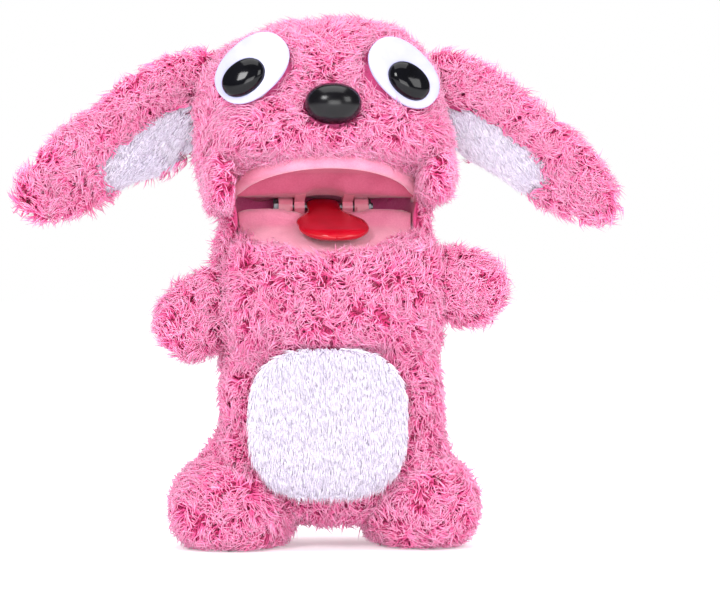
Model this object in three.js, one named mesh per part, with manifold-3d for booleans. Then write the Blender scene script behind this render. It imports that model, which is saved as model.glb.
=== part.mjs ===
// Moving mouth puppet: a plush animal whose mouth opens when its tummy is squeezed.
// Millimetres, +Z up, face towards -Y, origin on the ground under the middle of the puppet.
import * as THREE from 'three';
import { mergeVertices } from 'three/addons/utils/BufferGeometryUtils.js';
import Module from 'manifold-3d';

const wasm = await Module();
wasm.setup();

const degrees = THREE.MathUtils.degToRad;

// ---- driving dimensions -------------------------------------------------------------------

const GAP = 0.3;                      // between pieces that touch
const SOFT_GAP = 0.6;                 // between sewn or stuffed pieces
const MOVING_GAP = 1.2;               // round a piece that swings in a soft pocket
const REACH = 200;                    // length of a cutting tool that has to pass right through
const SHALLOW = 25;                   // depth of a cutting tool that opens a pocket towards the outside

// Exponents of the stuffed and moulded forms: 2 is an ellipsoid, and more is squarer.
const OVAL = 2.2;
const PLUMP = 2.3;
const PADDLE = 2.5;
const MUZZLE_SQUARE = 2.6;
const BODY_SQUARE = 2.8;

const PELT = 5;                       // thickness of fur fabric with its pile pressed down

const HEAD_WIDTH = 100;
const HEAD_TOP = 202;
const HEAD_HEIGHT = 88;
const HEAD_DEPTH = 76;
const HEAD_MIDDLE_Y = 6;
const MUZZLE_WIDTH = HEAD_WIDTH - 5;
const MUZZLE_HEIGHT = 54;
const MUZZLE_FRONT = -39;
const MUZZLE_DEPTH = 62;
const MUZZLE_MIDDLE_Z = 150;

const CHEST_WIDTH = 92;
const CHEST_DEPTH = 68;
const CHEST_HEIGHT = 76;
const CHEST_MIDDLE_Z = 94;
const BELLY_WIDTH = 88;
const BELLY_DEPTH = 66;
const BELLY_HEIGHT = 88;
const BELLY_MIDDLE_Z = 50;
const BODY_MIDDLE_Y = 1;
const SIDE_SEAM_Y = 4;
const SEAT_SEAM_Z = 24;

const HINGE_Y = 18;
const HINGE_Z = 130;
const HINGE_PIN_RADIUS = 1.5;
const KNUCKLE_RADIUS = 4;
const KNUCKLE_SIDES = 24;
const KNUCKLE_WEB_REACH = 12;         // how far the web under a knuckle joins its plate
const INNER_KNUCKLE = [7.4, 11.4];    // upper jaw, distances from the middle plane
const OUTER_KNUCKLE = [12.1, 17.5];   // lower jaw
const UPPER_JAW_LIFT = degrees(18.5);
const LOWER_JAW_DIP = degrees(20);
const MOUTH_CLOSING = degrees(30.5);
const NECK_GAP_UPPER = degrees(9);    // wedge behind the hinge, above the level
const NECK_GAP_LOWER = degrees(3);

const JAW_PLATE = 2.4;
const JAW_PLATE_OFFSET = 6;           // hinge axis to the near face of either jaw plate
const JAW_PLATE_REACH = 42;
const JAW_PLATE_START = 6;
const UPPER_PLATE_HALF_WIDTH = 36;
const LOWER_PLATE_HALF_WIDTH = 30;
const UPPER_LINING_REACH = 50;
const LOWER_LINING_REACH = 46;
const UPPER_LINING_START = 2;
const LOWER_LINING_START = 5;
const UPPER_LINING_HALF_WIDTH = 42;
const LOWER_LINING_HALF_WIDTH = 34;
const LINING_NEAR = 2.8;              // hinge axis to the open face of a lining
const LINING_NOTCH_REACH = 13;        // kept free round the knuckles
const LIP_NEAR = 0.7;                 // the upper lip roll comes closer to the hinge level
const LIP_ROLL = 6;

const TONGUE_HALF_WIDTH = 13.4;
const TONGUE_REACH = 44;
const TONGUE_THICKNESS = 5;
const TONGUE_PADDLE_LENGTH = 27;
const TONGUE_NECK_HALF_WIDTH = 5.2;

const CRANK_RADIUS = 12;
const CRANK_REST = degrees(17);       // forward of straight down
const CRANK_PIN_RADIUS = 1.25;
const CRANK_BOSS_RADIUS = 2.9;
const FORK_PLAY = 0.6;
const FORK_TINE = 2.6;
const FORK_REACH = 4.4;                // tines past the resting crank pin

const LEVER_PIVOT_Y = -5;
const LEVER_PIVOT_Z = 78;
const LEVER_PIN_RADIUS = 1.5;
const LEVER_BOSS_RADIUS = 3.6;
const LEVER_HALF_WIDTH = 5;
const BAR_FRONT = -20;
const BAR_DEPTH = 7;
const BAR_BOTTOM = 31;

const TUMMY_Z = 47;
const TUMMY_WIDTH = 58;
const TUMMY_HEIGHT = 57;
const TUMMY_CORNER = 0.43 * TUMMY_WIDTH;
const PATCH_THICKNESS = 5.5;
const PAD_THICKNESS = 5;
const THUMB_PLATE = 2.4;
const THUMB_PLATE_WIDTH = 40;
const THUMB_PLATE_HEIGHT = 38;
const THUMB_PLATE_CORNER = 12;

const FRAME_HALF_WIDTH = 22;
const FRAME_WALL = 2;
const FRAME_BOTTOM = 24;
const FRAME_BACK = 24;
const FRAME_FRONT = -12;
const COVER_THICKNESS = 2.3;
const WINDOW_HALF_WIDTH = 13;
const WINDOW_BOTTOM = 28;
const WINDOW_TOP = 84;
const SHELL_SCREW_X = 17;
const SHELL_SCREW_ZS = [29, 90];
const BOSS_RADIUS = 3.4;
const LEG_BOTTOM = 95;
const LEG_DEPTH = 8.7;
const JAW_SCREW_Z = 101;
const FORK_NOTCH = 16;                // in the back wall, for the fork's backward swing

const SCREW_SHANK_RADIUS = 1.2;
const SCREW_HEAD_RADIUS = 2.5;
const SCREW_HEAD = 1.6;
const SCREW_LENGTH = 9;
const SCREW_RECESS = 0.8;
const SCREW_BLADE = 0.35;             // half the width of the cross recess
const RING_THICKNESS = 0.8;
const PIN_END = 2;                    // how far a pin stands past what it carries

const SPRING_WIRE_RADIUS = 0.45;
const SPRING_RADIUS = 5.4;
const SPRING_TURNS = 3.75;
const SPRING_START = 7;
const SPRING_PITCH = 1.3;
const SPRING_LEG = 22;

const EYE_X = 0.29 * HEAD_WIDTH;
const EYE_Y = -28;
const EYE_Z = { left: 179.7, right: 178.2 };
const EYE_OUTWARD = degrees(17);
const EYE_UPWARD = degrees(14);
const EYE_TILT = degrees(45);
const EYE_LENGTH = 31;
const EYE_WIDTH = 22.5;
const EYE_PLATE = 1.6;
const EYE_FLAT = 0.1;                 // taken off the top of the plate, as a seat for the pupil
const EYE_SEAT_DEPTH = 50;
const PUPIL_LENGTH = 17.5;
const PUPIL_WIDTH = 13;
const PUPIL_HEIGHT = 4.5;
const PUPIL_OUT = 2.6;                // from the middle of the white, away from the nose
const PUPIL_DOWN = 3.2;
const POST_RADIUS = 2;
const POST_LENGTH = 13;
const WASHER_RADIUS = 7.5;
const WASHER_THICKNESS = 1.5;
const WASHER_DEPTH = 9;               // behind the front of the post

const NOSE_Z = 165.4;
const NOSE_Y = -36.5;
const NOSE_WIDTH = 20;
const NOSE_HEIGHT = 15;
const NOSE_DEPTH = 17;

const EAR_X = HEAD_WIDTH / 2 - 3;
const EAR_Y = 8;
const EAR_Z = 175.5;
const EAR_LENGTH = 85.5;
const EAR_WIDTH = 38;
const EAR_THICKNESS = 15;
const EAR_ROOT_RADIUS = 15;
const EAR_DROOP = { left: degrees(34), right: degrees(36) };
const EAR_ROLL = degrees(25);
const EAR_SWING = degrees(20);
const EAR_LINING_START = 7;
const EAR_LINING_LENGTH = 42;
const EAR_LINING_WIDTH = 16;
const EAR_LINING_PROUD = 0.7;
const EAR_LINING_THICKNESS = 2.2;

const ARM_X = 44;
const ARM_Y = -2;
const ARM_Z = { left: 94, right: 98 };
const ARM_REACH = 28.5;
const ARM_WIDTH = 27;
const ARM_THICKNESS = 25;
const ARM_DROOP = { left: degrees(50), right: degrees(20) };
const ARM_SWING = degrees(20);

const FOOT_X = 37;
const FOOT_Y = -4;
const FOOT_Z = 15;
const FOOT_WIDTH = 54;
const FOOT_DEPTH = 62;
const FOOT_HEIGHT = 42;
const FOOT_SPLAY = degrees(12);

// ---- materials ----------------------------------------------------------------------------

function material(color, roughness, metalness = 0) {
  return new THREE.MeshStandardMaterial({ color, roughness, metalness });
}

const pinkPlush = () => material('#e87fb0', 0.95);
const whitePlush = () => material('#e6dcf2', 0.95);
const pinkFelt = () => material('#e58aaa', 0.95);
const stuffing = () => material('#f2efe8', 1);
const foam = () => material('#efe3b8', 1);
const pinkPlastic = () => material('#d9788f', 0.4);
const whitePlastic = () => material('#dcdcf4', 0.2);
const blackPlastic = () => material('#0b0b0d', 0.12);
const redPlastic = () => material('#c8001e', 0.2);
const greyPlastic = () => material('#c9c9cc', 0.55);
const steel = () => material('#b8bbc0', 0.35, 1);

// ---- solids -------------------------------------------------------------------------------

function solidOf(geometry) {
  const bare = geometry.clone();
  bare.deleteAttribute('normal');
  bare.deleteAttribute('uv');
  const welded = mergeVertices(bare, 1e-4);
  return new wasm.Manifold(new wasm.Mesh({
    numProp: 3,
    vertProperties: new Float32Array(welded.attributes.position.array),
    triVerts: new Uint32Array(welded.index.array),
  }));
}

function geometryOf(solid) {
  const mesh = solid.getMesh();
  const geometry = new THREE.BufferGeometry();
  geometry.setAttribute('position', new THREE.BufferAttribute(mesh.vertProperties, 3));
  geometry.setIndex(new THREE.BufferAttribute(mesh.triVerts, 1));
  return geometry;
}

function join(...geometries) {
  return geometryOf(geometries.map(solidOf).reduce((whole, next) => whole.add(next)));
}

function cut(base, ...tools) {
  return geometryOf(tools.map(solidOf).reduce((rest, tool) => rest.subtract(tool), solidOf(base)));
}

function common(base, other) {
  return geometryOf(solidOf(base).intersect(solidOf(other)));
}

function moved(geometry, matrix) {
  return geometry.clone().applyMatrix4(matrix);
}

// A box between two values on each axis.
function block([x0, x1], [y0, y1], [z0, z1]) {
  return new THREE.BoxGeometry(x1 - x0, y1 - y0, z1 - z0)
    .translate((x0 + x1) / 2, (y0 + y1) / 2, (z0 + z1) / 2);
}

function rodAlongX(radius, [x0, x1], y, z, sides = 10) {
  return new THREE.CylinderGeometry(radius, radius, x1 - x0, sides)
    .rotateZ(Math.PI / 2).translate((x0 + x1) / 2, y, z);
}

function rodAlongY(radius, x, [y0, y1], z, sides = 10) {
  return new THREE.CylinderGeometry(radius, radius, y1 - y0, sides).translate(x, (y0 + y1) / 2, z);
}

function rodAlongZ(radius, x, y, [z0, z1], sides = 10) {
  return new THREE.CylinderGeometry(radius, radius, z1 - z0, sides)
    .rotateX(Math.PI / 2).translate(x, y, (z0 + z1) / 2);
}

// A stuffed form: an ellipsoid squared off by an exponent above 2, all its sizes full lengths.
function softForm([width, depth, height], [x, y, z], squareness, around = 18, up = 10) {
  const form = new THREE.SphereGeometry(1, around, up).rotateX(Math.PI / 2);
  const points = form.attributes.position;
  for (let i = 0; i < points.count; i += 1) {
    const p = [points.getX(i), points.getY(i), points.getZ(i)];
    const size = p.reduce((sum, value) => sum + Math.abs(value) ** squareness, 0) ** (1 / squareness);
    points.setXYZ(i, p[0] * width / 2 / size, p[1] * depth / 2 / size, p[2] * height / 2 / size);
  }
  return form.translate(x, y, z);
}

// An outline drawn in Y and Z, carried along X.
function sideProfile(points, [x0, x1]) {
  const outline = new THREE.Shape(points.map(([y, z]) => new THREE.Vector2(y, z)));
  const alongX = new THREE.Matrix4().makeBasis(
    new THREE.Vector3(0, 1, 0), new THREE.Vector3(0, 0, 1), new THREE.Vector3(1, 0, 0),
  );
  return new THREE.ExtrudeGeometry(outline, { depth: x1 - x0, bevelEnabled: false })
    .applyMatrix4(alongX).translate(x0, 0, 0);
}

// A level half oval whose straight side lies at y = -start and whose round side reaches y = -reach.
function jawOutline(halfWidth, start, reach) {
  const outline = new THREE.Shape();
  outline.absellipse(0, -start, halfWidth, reach - start, Math.PI, 2 * Math.PI, false);
  return outline;
}

function levelSlab(outline, [z0, z1], curveSegments = 12) {
  return new THREE.ExtrudeGeometry(outline, { depth: z1 - z0, bevelEnabled: false, curveSegments })
    .translate(0, 0, z0);
}

function roundedOutline(width, height, corner) {
  const x = width / 2 - corner;
  const y = height / 2 - corner;
  const outline = new THREE.Shape();
  outline.absarc(x, y, corner, 0, Math.PI / 2, false);
  outline.absarc(-x, y, corner, Math.PI / 2, Math.PI, false);
  outline.absarc(-x, -y, corner, Math.PI, 1.5 * Math.PI, false);
  outline.absarc(x, -y, corner, 1.5 * Math.PI, 2 * Math.PI, false);
  return outline;
}

// An upright slab seen from the front: its outline in X and Z, its front face at y0 and back at y1.
function uprightSlab(outline, [y0, y1], z, round = 0) {
  return new THREE.ExtrudeGeometry(outline, {
    depth: y1 - y0 - 2 * round,
    bevelEnabled: round > 0,
    bevelThickness: round,
    bevelSize: round,
    bevelOffset: -round,
    bevelSegments: 2,
    curveSegments: 3,
  }).rotateX(Math.PI / 2).translate(0, y1 - round, z);
}

function mirroredPair([near, far]) {
  return [[near, far], [-far, -near]];
}

function addPart(group, name, geometry, surface) {
  const mesh = new THREE.Mesh(geometry, surface);
  mesh.name = name;
  group.add(mesh);
}

const sides = { left: -1, right: 1 };

// ---- frames that the pieces are built in --------------------------------------------------

const puppet = new THREE.Group();

function groupAt(parent, x, y, z) {
  const group = new THREE.Group();
  group.position.set(x, y, z);
  parent.add(group);
  return group;
}

const lowerJaw = groupAt(puppet, 0, HINGE_Y, HINGE_Z);
lowerJaw.rotation.x = LOWER_JAW_DIP;
const upperJaw = groupAt(puppet, 0, HINGE_Y, HINGE_Z);
upperJaw.rotation.x = -UPPER_JAW_LIFT;

// A frame on the face: its Z points out of the face, X to the viewer's right and Y upwards.
function facingGroup(x, y, z, outward, upward) {
  const group = groupAt(puppet, x, y, z);
  const normal = new THREE.Vector3(
    Math.sin(outward) * Math.cos(upward), -Math.cos(outward) * Math.cos(upward), Math.sin(upward),
  );
  const across = new THREE.Vector3(0, 0, 1).cross(normal).normalize();
  const above = normal.clone().cross(across);
  group.quaternion.setFromRotationMatrix(new THREE.Matrix4().makeBasis(across, above, normal));
  return group;
}

const eyes = {};
const ears = {};
const arms = {};
const feet = {};
for (const [side, sign] of Object.entries(sides)) {
  eyes[side] = facingGroup(
    sign * EYE_X, EYE_Y, EYE_Z[side], sign * EYE_OUTWARD, EYE_UPWARD,
  );
  ears[side] = groupAt(puppet, sign * EAR_X, EAR_Y, EAR_Z);
  ears[side].rotation.y = sign * EAR_DROOP[side];
  arms[side] = groupAt(puppet, sign * ARM_X, ARM_Y, ARM_Z[side]);
  arms[side].rotation.y = sign * ARM_DROOP[side];
  feet[side] = groupAt(puppet, sign * FOOT_X, FOOT_Y, FOOT_Z);
  feet[side].rotation.z = sign * FOOT_SPLAY;
}
const nose = facingGroup(0, NOSE_Y, NOSE_Z, 0, 0);

puppet.updateMatrixWorld(true);

const inPuppet = (geometry, group) => moved(geometry, group.matrixWorld);

// ---- hinge, pins and screws ---------------------------------------------------------------

// A turned pin along X with a flat head at its left end.
function headedPin(radius, [x0, x1], y, z) {
  const head = rodAlongX(radius * 2, [x0 - radius, x0 + GAP], y, z);
  return join(rodAlongX(radius, [x0, x1], y, z), head);
}

function retainingRing(pinRadius, x, y, z) {
  return cut(
    rodAlongX(pinRadius * 2, [x, x + RING_THICKNESS], y, z),
    rodAlongX(pinRadius + GAP, [x - GAP, x + RING_THICKNESS + GAP], y, z),
  );
}

// A pan head screw that points towards +Y, with the underside of its head at the origin.
function panHeadScrew(length) {
  const profile = [
    [0, length],
    [SCREW_SHANK_RADIUS, length - SCREW_SHANK_RADIUS],
    [SCREW_SHANK_RADIUS, 0],
    [SCREW_HEAD_RADIUS, 0],
    [SCREW_HEAD_RADIUS, -SCREW_HEAD * 0.5],
    [SCREW_HEAD_RADIUS * 0.7, -SCREW_HEAD],
    [0, -SCREW_HEAD],
  ].map(([r, y]) => new THREE.Vector2(r, y));
  const screw = new THREE.LatheGeometry(profile.reverse(), 8);
  const slot = SCREW_HEAD_RADIUS * 0.6;
  const depth = [-SCREW_HEAD - GAP, -SCREW_HEAD + SCREW_RECESS];
  return cut(
    screw,
    block([-slot, slot], depth, [-SCREW_BLADE, SCREW_BLADE]),
    block([-SCREW_BLADE, SCREW_BLADE], depth, [-slot, slot]),
  );
}

const jawPinEnds = [-OUTER_KNUCKLE[1] - GAP, OUTER_KNUCKLE[1] + PIN_END];
addPart(puppet, 'hinge_pin', headedPin(HINGE_PIN_RADIUS, jawPinEnds, HINGE_Y, HINGE_Z), steel());
addPart(
  puppet, 'hinge_pin_ring',
  retainingRing(HINGE_PIN_RADIUS, OUTER_KNUCKLE[1] + GAP, HINGE_Y, HINGE_Z), steel(),
);

const leverPinEnds = [-FRAME_HALF_WIDTH - 2 * GAP, FRAME_HALF_WIDTH + PIN_END];
addPart(
  puppet, 'lever_pin',
  headedPin(LEVER_PIN_RADIUS, leverPinEnds, LEVER_PIVOT_Y, LEVER_PIVOT_Z), steel(),
);
addPart(
  puppet, 'lever_pin_ring',
  retainingRing(LEVER_PIN_RADIUS, FRAME_HALF_WIDTH + GAP, LEVER_PIVOT_Y, LEVER_PIVOT_Z), steel(),
);

// ---- jaws ---------------------------------------------------------------------------------

function jawPlate(halfWidth, [z0, z1], notchHalfWidth, notchReach) {
  const plate = levelSlab(jawOutline(halfWidth, JAW_PLATE_START, JAW_PLATE_REACH), [z0, z1]);
  const notch = block(
    [-notchHalfWidth, notchHalfWidth], [-notchReach, 0], [z0 - 1, z1 + 1],
  );
  return cut(plate, notch);
}

const plateRange = [JAW_PLATE_OFFSET, JAW_PLATE_OFFSET + JAW_PLATE];
// The frame reaches up to the underside of the lower jaw plate where that passes over its front.
const frameTop = HINGE_Z - (HINGE_Y - FRAME_FRONT) * Math.tan(LOWER_JAW_DIP)
  - plateRange[1] / Math.cos(LOWER_JAW_DIP) - SOFT_GAP;
const pinBore = rodAlongX(HINGE_PIN_RADIUS + GAP, [-REACH / 2, REACH / 2], 0, 0);
const crankPinAt = [
  -CRANK_RADIUS * Math.sin(CRANK_REST), -CRANK_RADIUS * Math.cos(CRANK_REST),
];

// Upper jaw: a half-oval plate above the hinge, two inner knuckles, and a crank arm under each.
function upperJawPlate() {
  const plate = jawPlate(
    UPPER_PLATE_HALF_WIDTH, plateRange, OUTER_KNUCKLE[0], JAW_PLATE_START + 1,
  );
  const pieces = [plate];
  const toJaw = new THREE.Matrix4().makeRotationX(UPPER_JAW_LIFT);
  const arm = new THREE.Matrix4().makeRotationX(-CRANK_REST).premultiply(toJaw);
  const [pinY, pinZ] = [0, -CRANK_RADIUS];
  for (const span of mirroredPair(INNER_KNUCKLE)) {
    pieces.push(rodAlongX(KNUCKLE_RADIUS, span, 0, 0, KNUCKLE_SIDES));
    pieces.push(block(span, [-KNUCKLE_WEB_REACH, 0], [0.5, plateRange[1] - GAP]));
    pieces.push(moved(block(span, [-CRANK_BOSS_RADIUS, CRANK_BOSS_RADIUS], [pinZ, 0]), arm));
    pieces.push(moved(rodAlongX(CRANK_BOSS_RADIUS, span, pinY, pinZ), arm));
  }
  const crankBore = rodAlongX(CRANK_PIN_RADIUS + GAP, [-REACH / 2, REACH / 2], pinY, pinZ);
  return cut(join(...pieces), pinBore, moved(crankBore, arm));
}

addPart(upperJaw, 'upper_jaw_plate', upperJawPlate(), pinkPlastic());
addPart(
  puppet, 'crank_pin',
  rodAlongX(
    CRANK_PIN_RADIUS, [-INNER_KNUCKLE[1], INNER_KNUCKLE[1]],
    HINGE_Y + crankPinAt[0], HINGE_Z + crankPinAt[1], 12,
  ), steel(),
);

// Lower jaw: a half-oval plate under the hinge, two outer knuckles, and a leg under each that is
// screwed to the back shell.
const legSpan = [OUTER_KNUCKLE[0] + 0.9, OUTER_KNUCKLE[1]];
const legBack = FRAME_BACK - FRAME_WALL - GAP - HINGE_Y;

function lowerJawPlate() {
  const low = -plateRange[1];
  const notchReach = CRANK_RADIUS + CRANK_BOSS_RADIUS + 2;
  const plate = jawPlate(
    LOWER_PLATE_HALF_WIDTH, [low, -plateRange[0]], OUTER_KNUCKLE[0], notchReach,
  );
  const pieces = [plate];
  const level = new THREE.Matrix4().makeRotationX(-LOWER_JAW_DIP);
  for (const span of mirroredPair(OUTER_KNUCKLE)) {
    pieces.push(rodAlongX(KNUCKLE_RADIUS, span, 0, 0, KNUCKLE_SIDES));
    pieces.push(block(span, [-KNUCKLE_WEB_REACH, 0], [low, -KNUCKLE_RADIUS / 2]));
  }
  for (const span of mirroredPair(legSpan)) {
    const leg = block(span, [legBack - LEG_DEPTH, legBack], [LEG_BOTTOM - HINGE_Z, 0]);
    pieces.push(moved(leg, level));
  }
  const screwHoles = mirroredPair(legSpan).map(([x0, x1]) => moved(rodAlongY(
    SCREW_SHANK_RADIUS + GAP, (x0 + x1) / 2, [legBack - LEG_DEPTH - 1, legBack + 1],
    JAW_SCREW_Z - HINGE_Z, 8,
  ), level));
  return cut(join(...pieces), pinBore, ...screwHoles);
}

addPart(lowerJaw, 'lower_jaw_plate', lowerJawPlate(), pinkPlastic());

// Mouth linings: soft felt over the jaw plates, open at the back round the knuckles.
const liningNotch = OUTER_KNUCKLE[1] + 1;
const liningFar = JAW_PLATE_OFFSET - GAP;

function upperLining() {
  const pad = levelSlab(
    jawOutline(UPPER_LINING_HALF_WIDTH, UPPER_LINING_START, UPPER_LINING_REACH),
    [LIP_NEAR, liningFar], 14,
  );
  const palate = levelSlab(
    jawOutline(
      UPPER_LINING_HALF_WIDTH - LIP_ROLL, UPPER_LINING_START, UPPER_LINING_REACH - LIP_ROLL,
    ),
    [-LIP_NEAR, LINING_NEAR], 12,
  );
  const notch = block([-liningNotch, liningNotch], [-LINING_NOTCH_REACH, 0], [-1, liningFar + 1]);
  return cut(pad, palate, notch);
}

function lowerLining() {
  const pad = levelSlab(
    jawOutline(LOWER_LINING_HALF_WIDTH, LOWER_LINING_START, LOWER_LINING_REACH),
    [-liningFar, -LINING_NEAR], 14,
  );
  const notch = block([-liningNotch, liningNotch], [-LINING_NOTCH_REACH, 0], [-liningFar - 1, 0]);
  return cut(pad, notch);
}

addPart(upperJaw, 'upper_mouth_lining', upperLining(), pinkFelt());
addPart(lowerJaw, 'lower_mouth_lining', lowerLining(), pinkFelt());

// Tongue: a round-edged paddle on a neck that is hooked on the hinge pin.
function tongue() {
  const paddle = softForm(
    [2 * TONGUE_HALF_WIDTH, TONGUE_PADDLE_LENGTH, TONGUE_THICKNESS],
    [0, -TONGUE_REACH + TONGUE_PADDLE_LENGTH / 2, 0], MUZZLE_SQUARE, 16, 8,
  );
  const neckHalf = TONGUE_THICKNESS / 2 - 0.4;
  const neckSpan = [-TONGUE_NECK_HALF_WIDTH, TONGUE_NECK_HALF_WIDTH];
  const neck = block(neckSpan, [-TONGUE_REACH + TONGUE_PADDLE_LENGTH / 2, 0], [-neckHalf, neckHalf]);
  return cut(join(paddle, neck, rodAlongX(KNUCKLE_RADIUS, neckSpan, 0, 0)), pinBore);
}

addPart(lowerJaw, 'tongue', tongue(), redPlastic());

// ---- squeeze lever ------------------------------------------------------------------------

const bossSpan = [-FRAME_HALF_WIDTH + FRAME_WALL + 0.6, FRAME_HALF_WIDTH - FRAME_WALL - 0.6];
const leverSpan = [-LEVER_HALF_WIDTH, LEVER_HALF_WIDTH];
const plateFront = BAR_FRONT - GAP - THUMB_PLATE;
const barBack = BAR_FRONT + BAR_DEPTH;
const plateScrewZs = [TUMMY_Z - THUMB_PLATE_HEIGHT / 4, TUMMY_Z + THUMB_PLATE_HEIGHT / 4];

// Lever: a straight bar behind the tummy, a boss on the lever pin, and an arm that rises to a
// fork round the crank pin. The fork is the open pivot of the linkage.
function squeezeLever() {
  const pinY = HINGE_Y + crankPinAt[0];
  const pinZ = HINGE_Z + crankPinAt[1];
  const slot = CRANK_PIN_RADIUS + FORK_PLAY;
  const forkFront = pinY - slot - FORK_TINE;
  const forkBack = pinY + slot + FORK_TINE;
  const forkTop = pinZ + FORK_REACH;
  const forkBottom = pinZ - slot - 8;
  const bar = sideProfile([
    [BAR_FRONT, BAR_BOTTOM],
    [barBack, BAR_BOTTOM],
    [barBack, LEVER_PIVOT_Z - 14],
    [LEVER_PIVOT_Y + LEVER_BOSS_RADIUS, LEVER_PIVOT_Z - LEVER_BOSS_RADIUS],
    [forkBack, forkBottom],
    [forkBack, forkTop],
    [forkFront, forkTop],
    [forkFront, forkBottom + 3],
    [LEVER_PIVOT_Y - LEVER_BOSS_RADIUS, LEVER_PIVOT_Z + LEVER_BOSS_RADIUS],
    [BAR_FRONT, LEVER_PIVOT_Z - 10],
  ], leverSpan);
  const boss = rodAlongX(LEVER_BOSS_RADIUS, bossSpan, LEVER_PIVOT_Y, LEVER_PIVOT_Z);
  const acrossAll = [-REACH / 2, REACH / 2];
  const bore = rodAlongX(LEVER_PIN_RADIUS + GAP, acrossAll, LEVER_PIVOT_Y, LEVER_PIVOT_Z);
  const forkSlot = block(acrossAll, [pinY - slot, pinY + slot], [forkBottom + 4, forkTop + 1]);
  const screwHoles = plateScrewZs.map((z) => rodAlongY(
    SCREW_SHANK_RADIUS + GAP, 0, [BAR_FRONT - 1, barBack + 1], z, 8,
  ));
  return cut(join(bar, boss), bore, forkSlot, ...screwHoles);
}

addPart(puppet, 'squeeze_lever', squeezeLever(), greyPlastic());

function thumbPlate() {
  const outline = roundedOutline(THUMB_PLATE_WIDTH, THUMB_PLATE_HEIGHT, THUMB_PLATE_CORNER);
  const plate = uprightSlab(outline, [plateFront, plateFront + THUMB_PLATE], TUMMY_Z);
  const holes = plateScrewZs.map((z) => rodAlongY(
    SCREW_SHANK_RADIUS + GAP, 0, [plateFront - 1, plateFront + THUMB_PLATE + 1], z, 8,
  ));
  return cut(plate, ...holes);
}

addPart(puppet, 'thumb_plate', thumbPlate(), greyPlastic());

for (const [i, name] of ['thumb_plate_screw_lower', 'thumb_plate_screw_upper'].entries()) {
  const spot = groupAt(puppet, 0, plateFront - GAP, plateScrewZs[i]);
  addPart(spot, name, panHeadScrew(SCREW_LENGTH), steel());
}

// The tummy: foam over the thumb plate, with a pocket over each screw head, under a plush patch.
const padBack = plateFront - GAP;
const padFront = padBack - PAD_THICKNESS;
const patchBack = padFront - GAP;
const patchFront = patchBack - PATCH_THICKNESS;

function tummyPad() {
  const outline = roundedOutline(TUMMY_WIDTH - 4, TUMMY_HEIGHT - 4, TUMMY_CORNER - 2);
  const pad = uprightSlab(outline, [padFront, padBack], TUMMY_Z);
  const pockets = plateScrewZs.map((z) => rodAlongY(
    SCREW_HEAD_RADIUS + SOFT_GAP, 0, [padBack - SCREW_HEAD - SOFT_GAP - GAP, padBack + 1], z, 8,
  ));
  return cut(pad, ...pockets);
}

function tummyPatch() {
  const outline = roundedOutline(TUMMY_WIDTH, TUMMY_HEIGHT, TUMMY_CORNER);
  return uprightSlab(outline, [patchFront, patchBack], TUMMY_Z, PATCH_THICKNESS * 0.42);
}

addPart(puppet, 'tummy_pad', tummyPad(), foam());
addPart(puppet, 'tummy_patch', tummyPatch(), whitePlush());

// ---- inner frame --------------------------------------------------------------------------

const shellScrewSpots = SHELL_SCREW_ZS.flatMap((z) => Object.values(sides).map(
  (sign) => [sign * SHELL_SCREW_X, z],
));
const coverBack = FRAME_FRONT + COVER_THICKNESS;
const jawScrewXs = mirroredPair(legSpan).map(([x0, x1]) => (x0 + x1) / 2);

// Back shell: a channel open at the front and top, with screw bosses and holes for both pins.
function backShell() {
  const outer = block(
    [-FRAME_HALF_WIDTH, FRAME_HALF_WIDTH], [coverBack + GAP, FRAME_BACK], [FRAME_BOTTOM, frameTop],
  );
  const inner = FRAME_HALF_WIDTH - FRAME_WALL;
  const hollow = block(
    [-inner, inner], [coverBack - 1, FRAME_BACK - FRAME_WALL],
    [FRAME_BOTTOM + FRAME_WALL, frameTop + 1],
  );
  const channel = cut(outer, hollow);
  const bosses = shellScrewSpots.map(([x, z]) => rodAlongY(
    BOSS_RADIUS, x, [coverBack + GAP, FRAME_BACK - FRAME_WALL / 2], z, 8,
  ));
  const screwHoles = shellScrewSpots.map(([x, z]) => rodAlongY(
    SCREW_SHANK_RADIUS + GAP, x, [coverBack, coverBack + SCREW_LENGTH + 2], z, 8,
  ));
  const jawHoles = jawScrewXs.map((x) => rodAlongY(
    SCREW_SHANK_RADIUS + GAP, x, [FRAME_BACK - FRAME_WALL - 1, FRAME_BACK + 1], JAW_SCREW_Z, 8,
  ));
  const pinHole = rodAlongX(
    LEVER_PIN_RADIUS + GAP, [-REACH / 2, REACH / 2], LEVER_PIVOT_Y, LEVER_PIVOT_Z,
  );
  const forkNotch = block(
    [-LEVER_HALF_WIDTH - MOVING_GAP, LEVER_HALF_WIDTH + MOVING_GAP],
    [FRAME_BACK - FRAME_WALL - 1, FRAME_BACK + 1],
    [frameTop - FORK_NOTCH, frameTop + 1],
  );
  return cut(join(channel, ...bosses), ...screwHoles, ...jawHoles, pinHole, forkNotch);
}

// Front shell: a flat cover with a window for the lever's bar, open above for its arm.
function frontShell() {
  const cover = block(
    [-FRAME_HALF_WIDTH, FRAME_HALF_WIDTH], [FRAME_FRONT, coverBack], [FRAME_BOTTOM, frameTop - 6],
  );
  const window = block(
    [-WINDOW_HALF_WIDTH, WINDOW_HALF_WIDTH], [FRAME_FRONT - 1, coverBack + 1],
    [WINDOW_BOTTOM, WINDOW_TOP],
  );
  const screwHoles = shellScrewSpots.map(([x, z]) => rodAlongY(
    SCREW_SHANK_RADIUS + GAP, x, [FRAME_FRONT - 1, coverBack + 1], z, 8,
  ));
  return cut(cover, window, ...screwHoles);
}

addPart(puppet, 'back_shell', backShell(), greyPlastic());
addPart(puppet, 'front_shell', frontShell(), greyPlastic());

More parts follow.
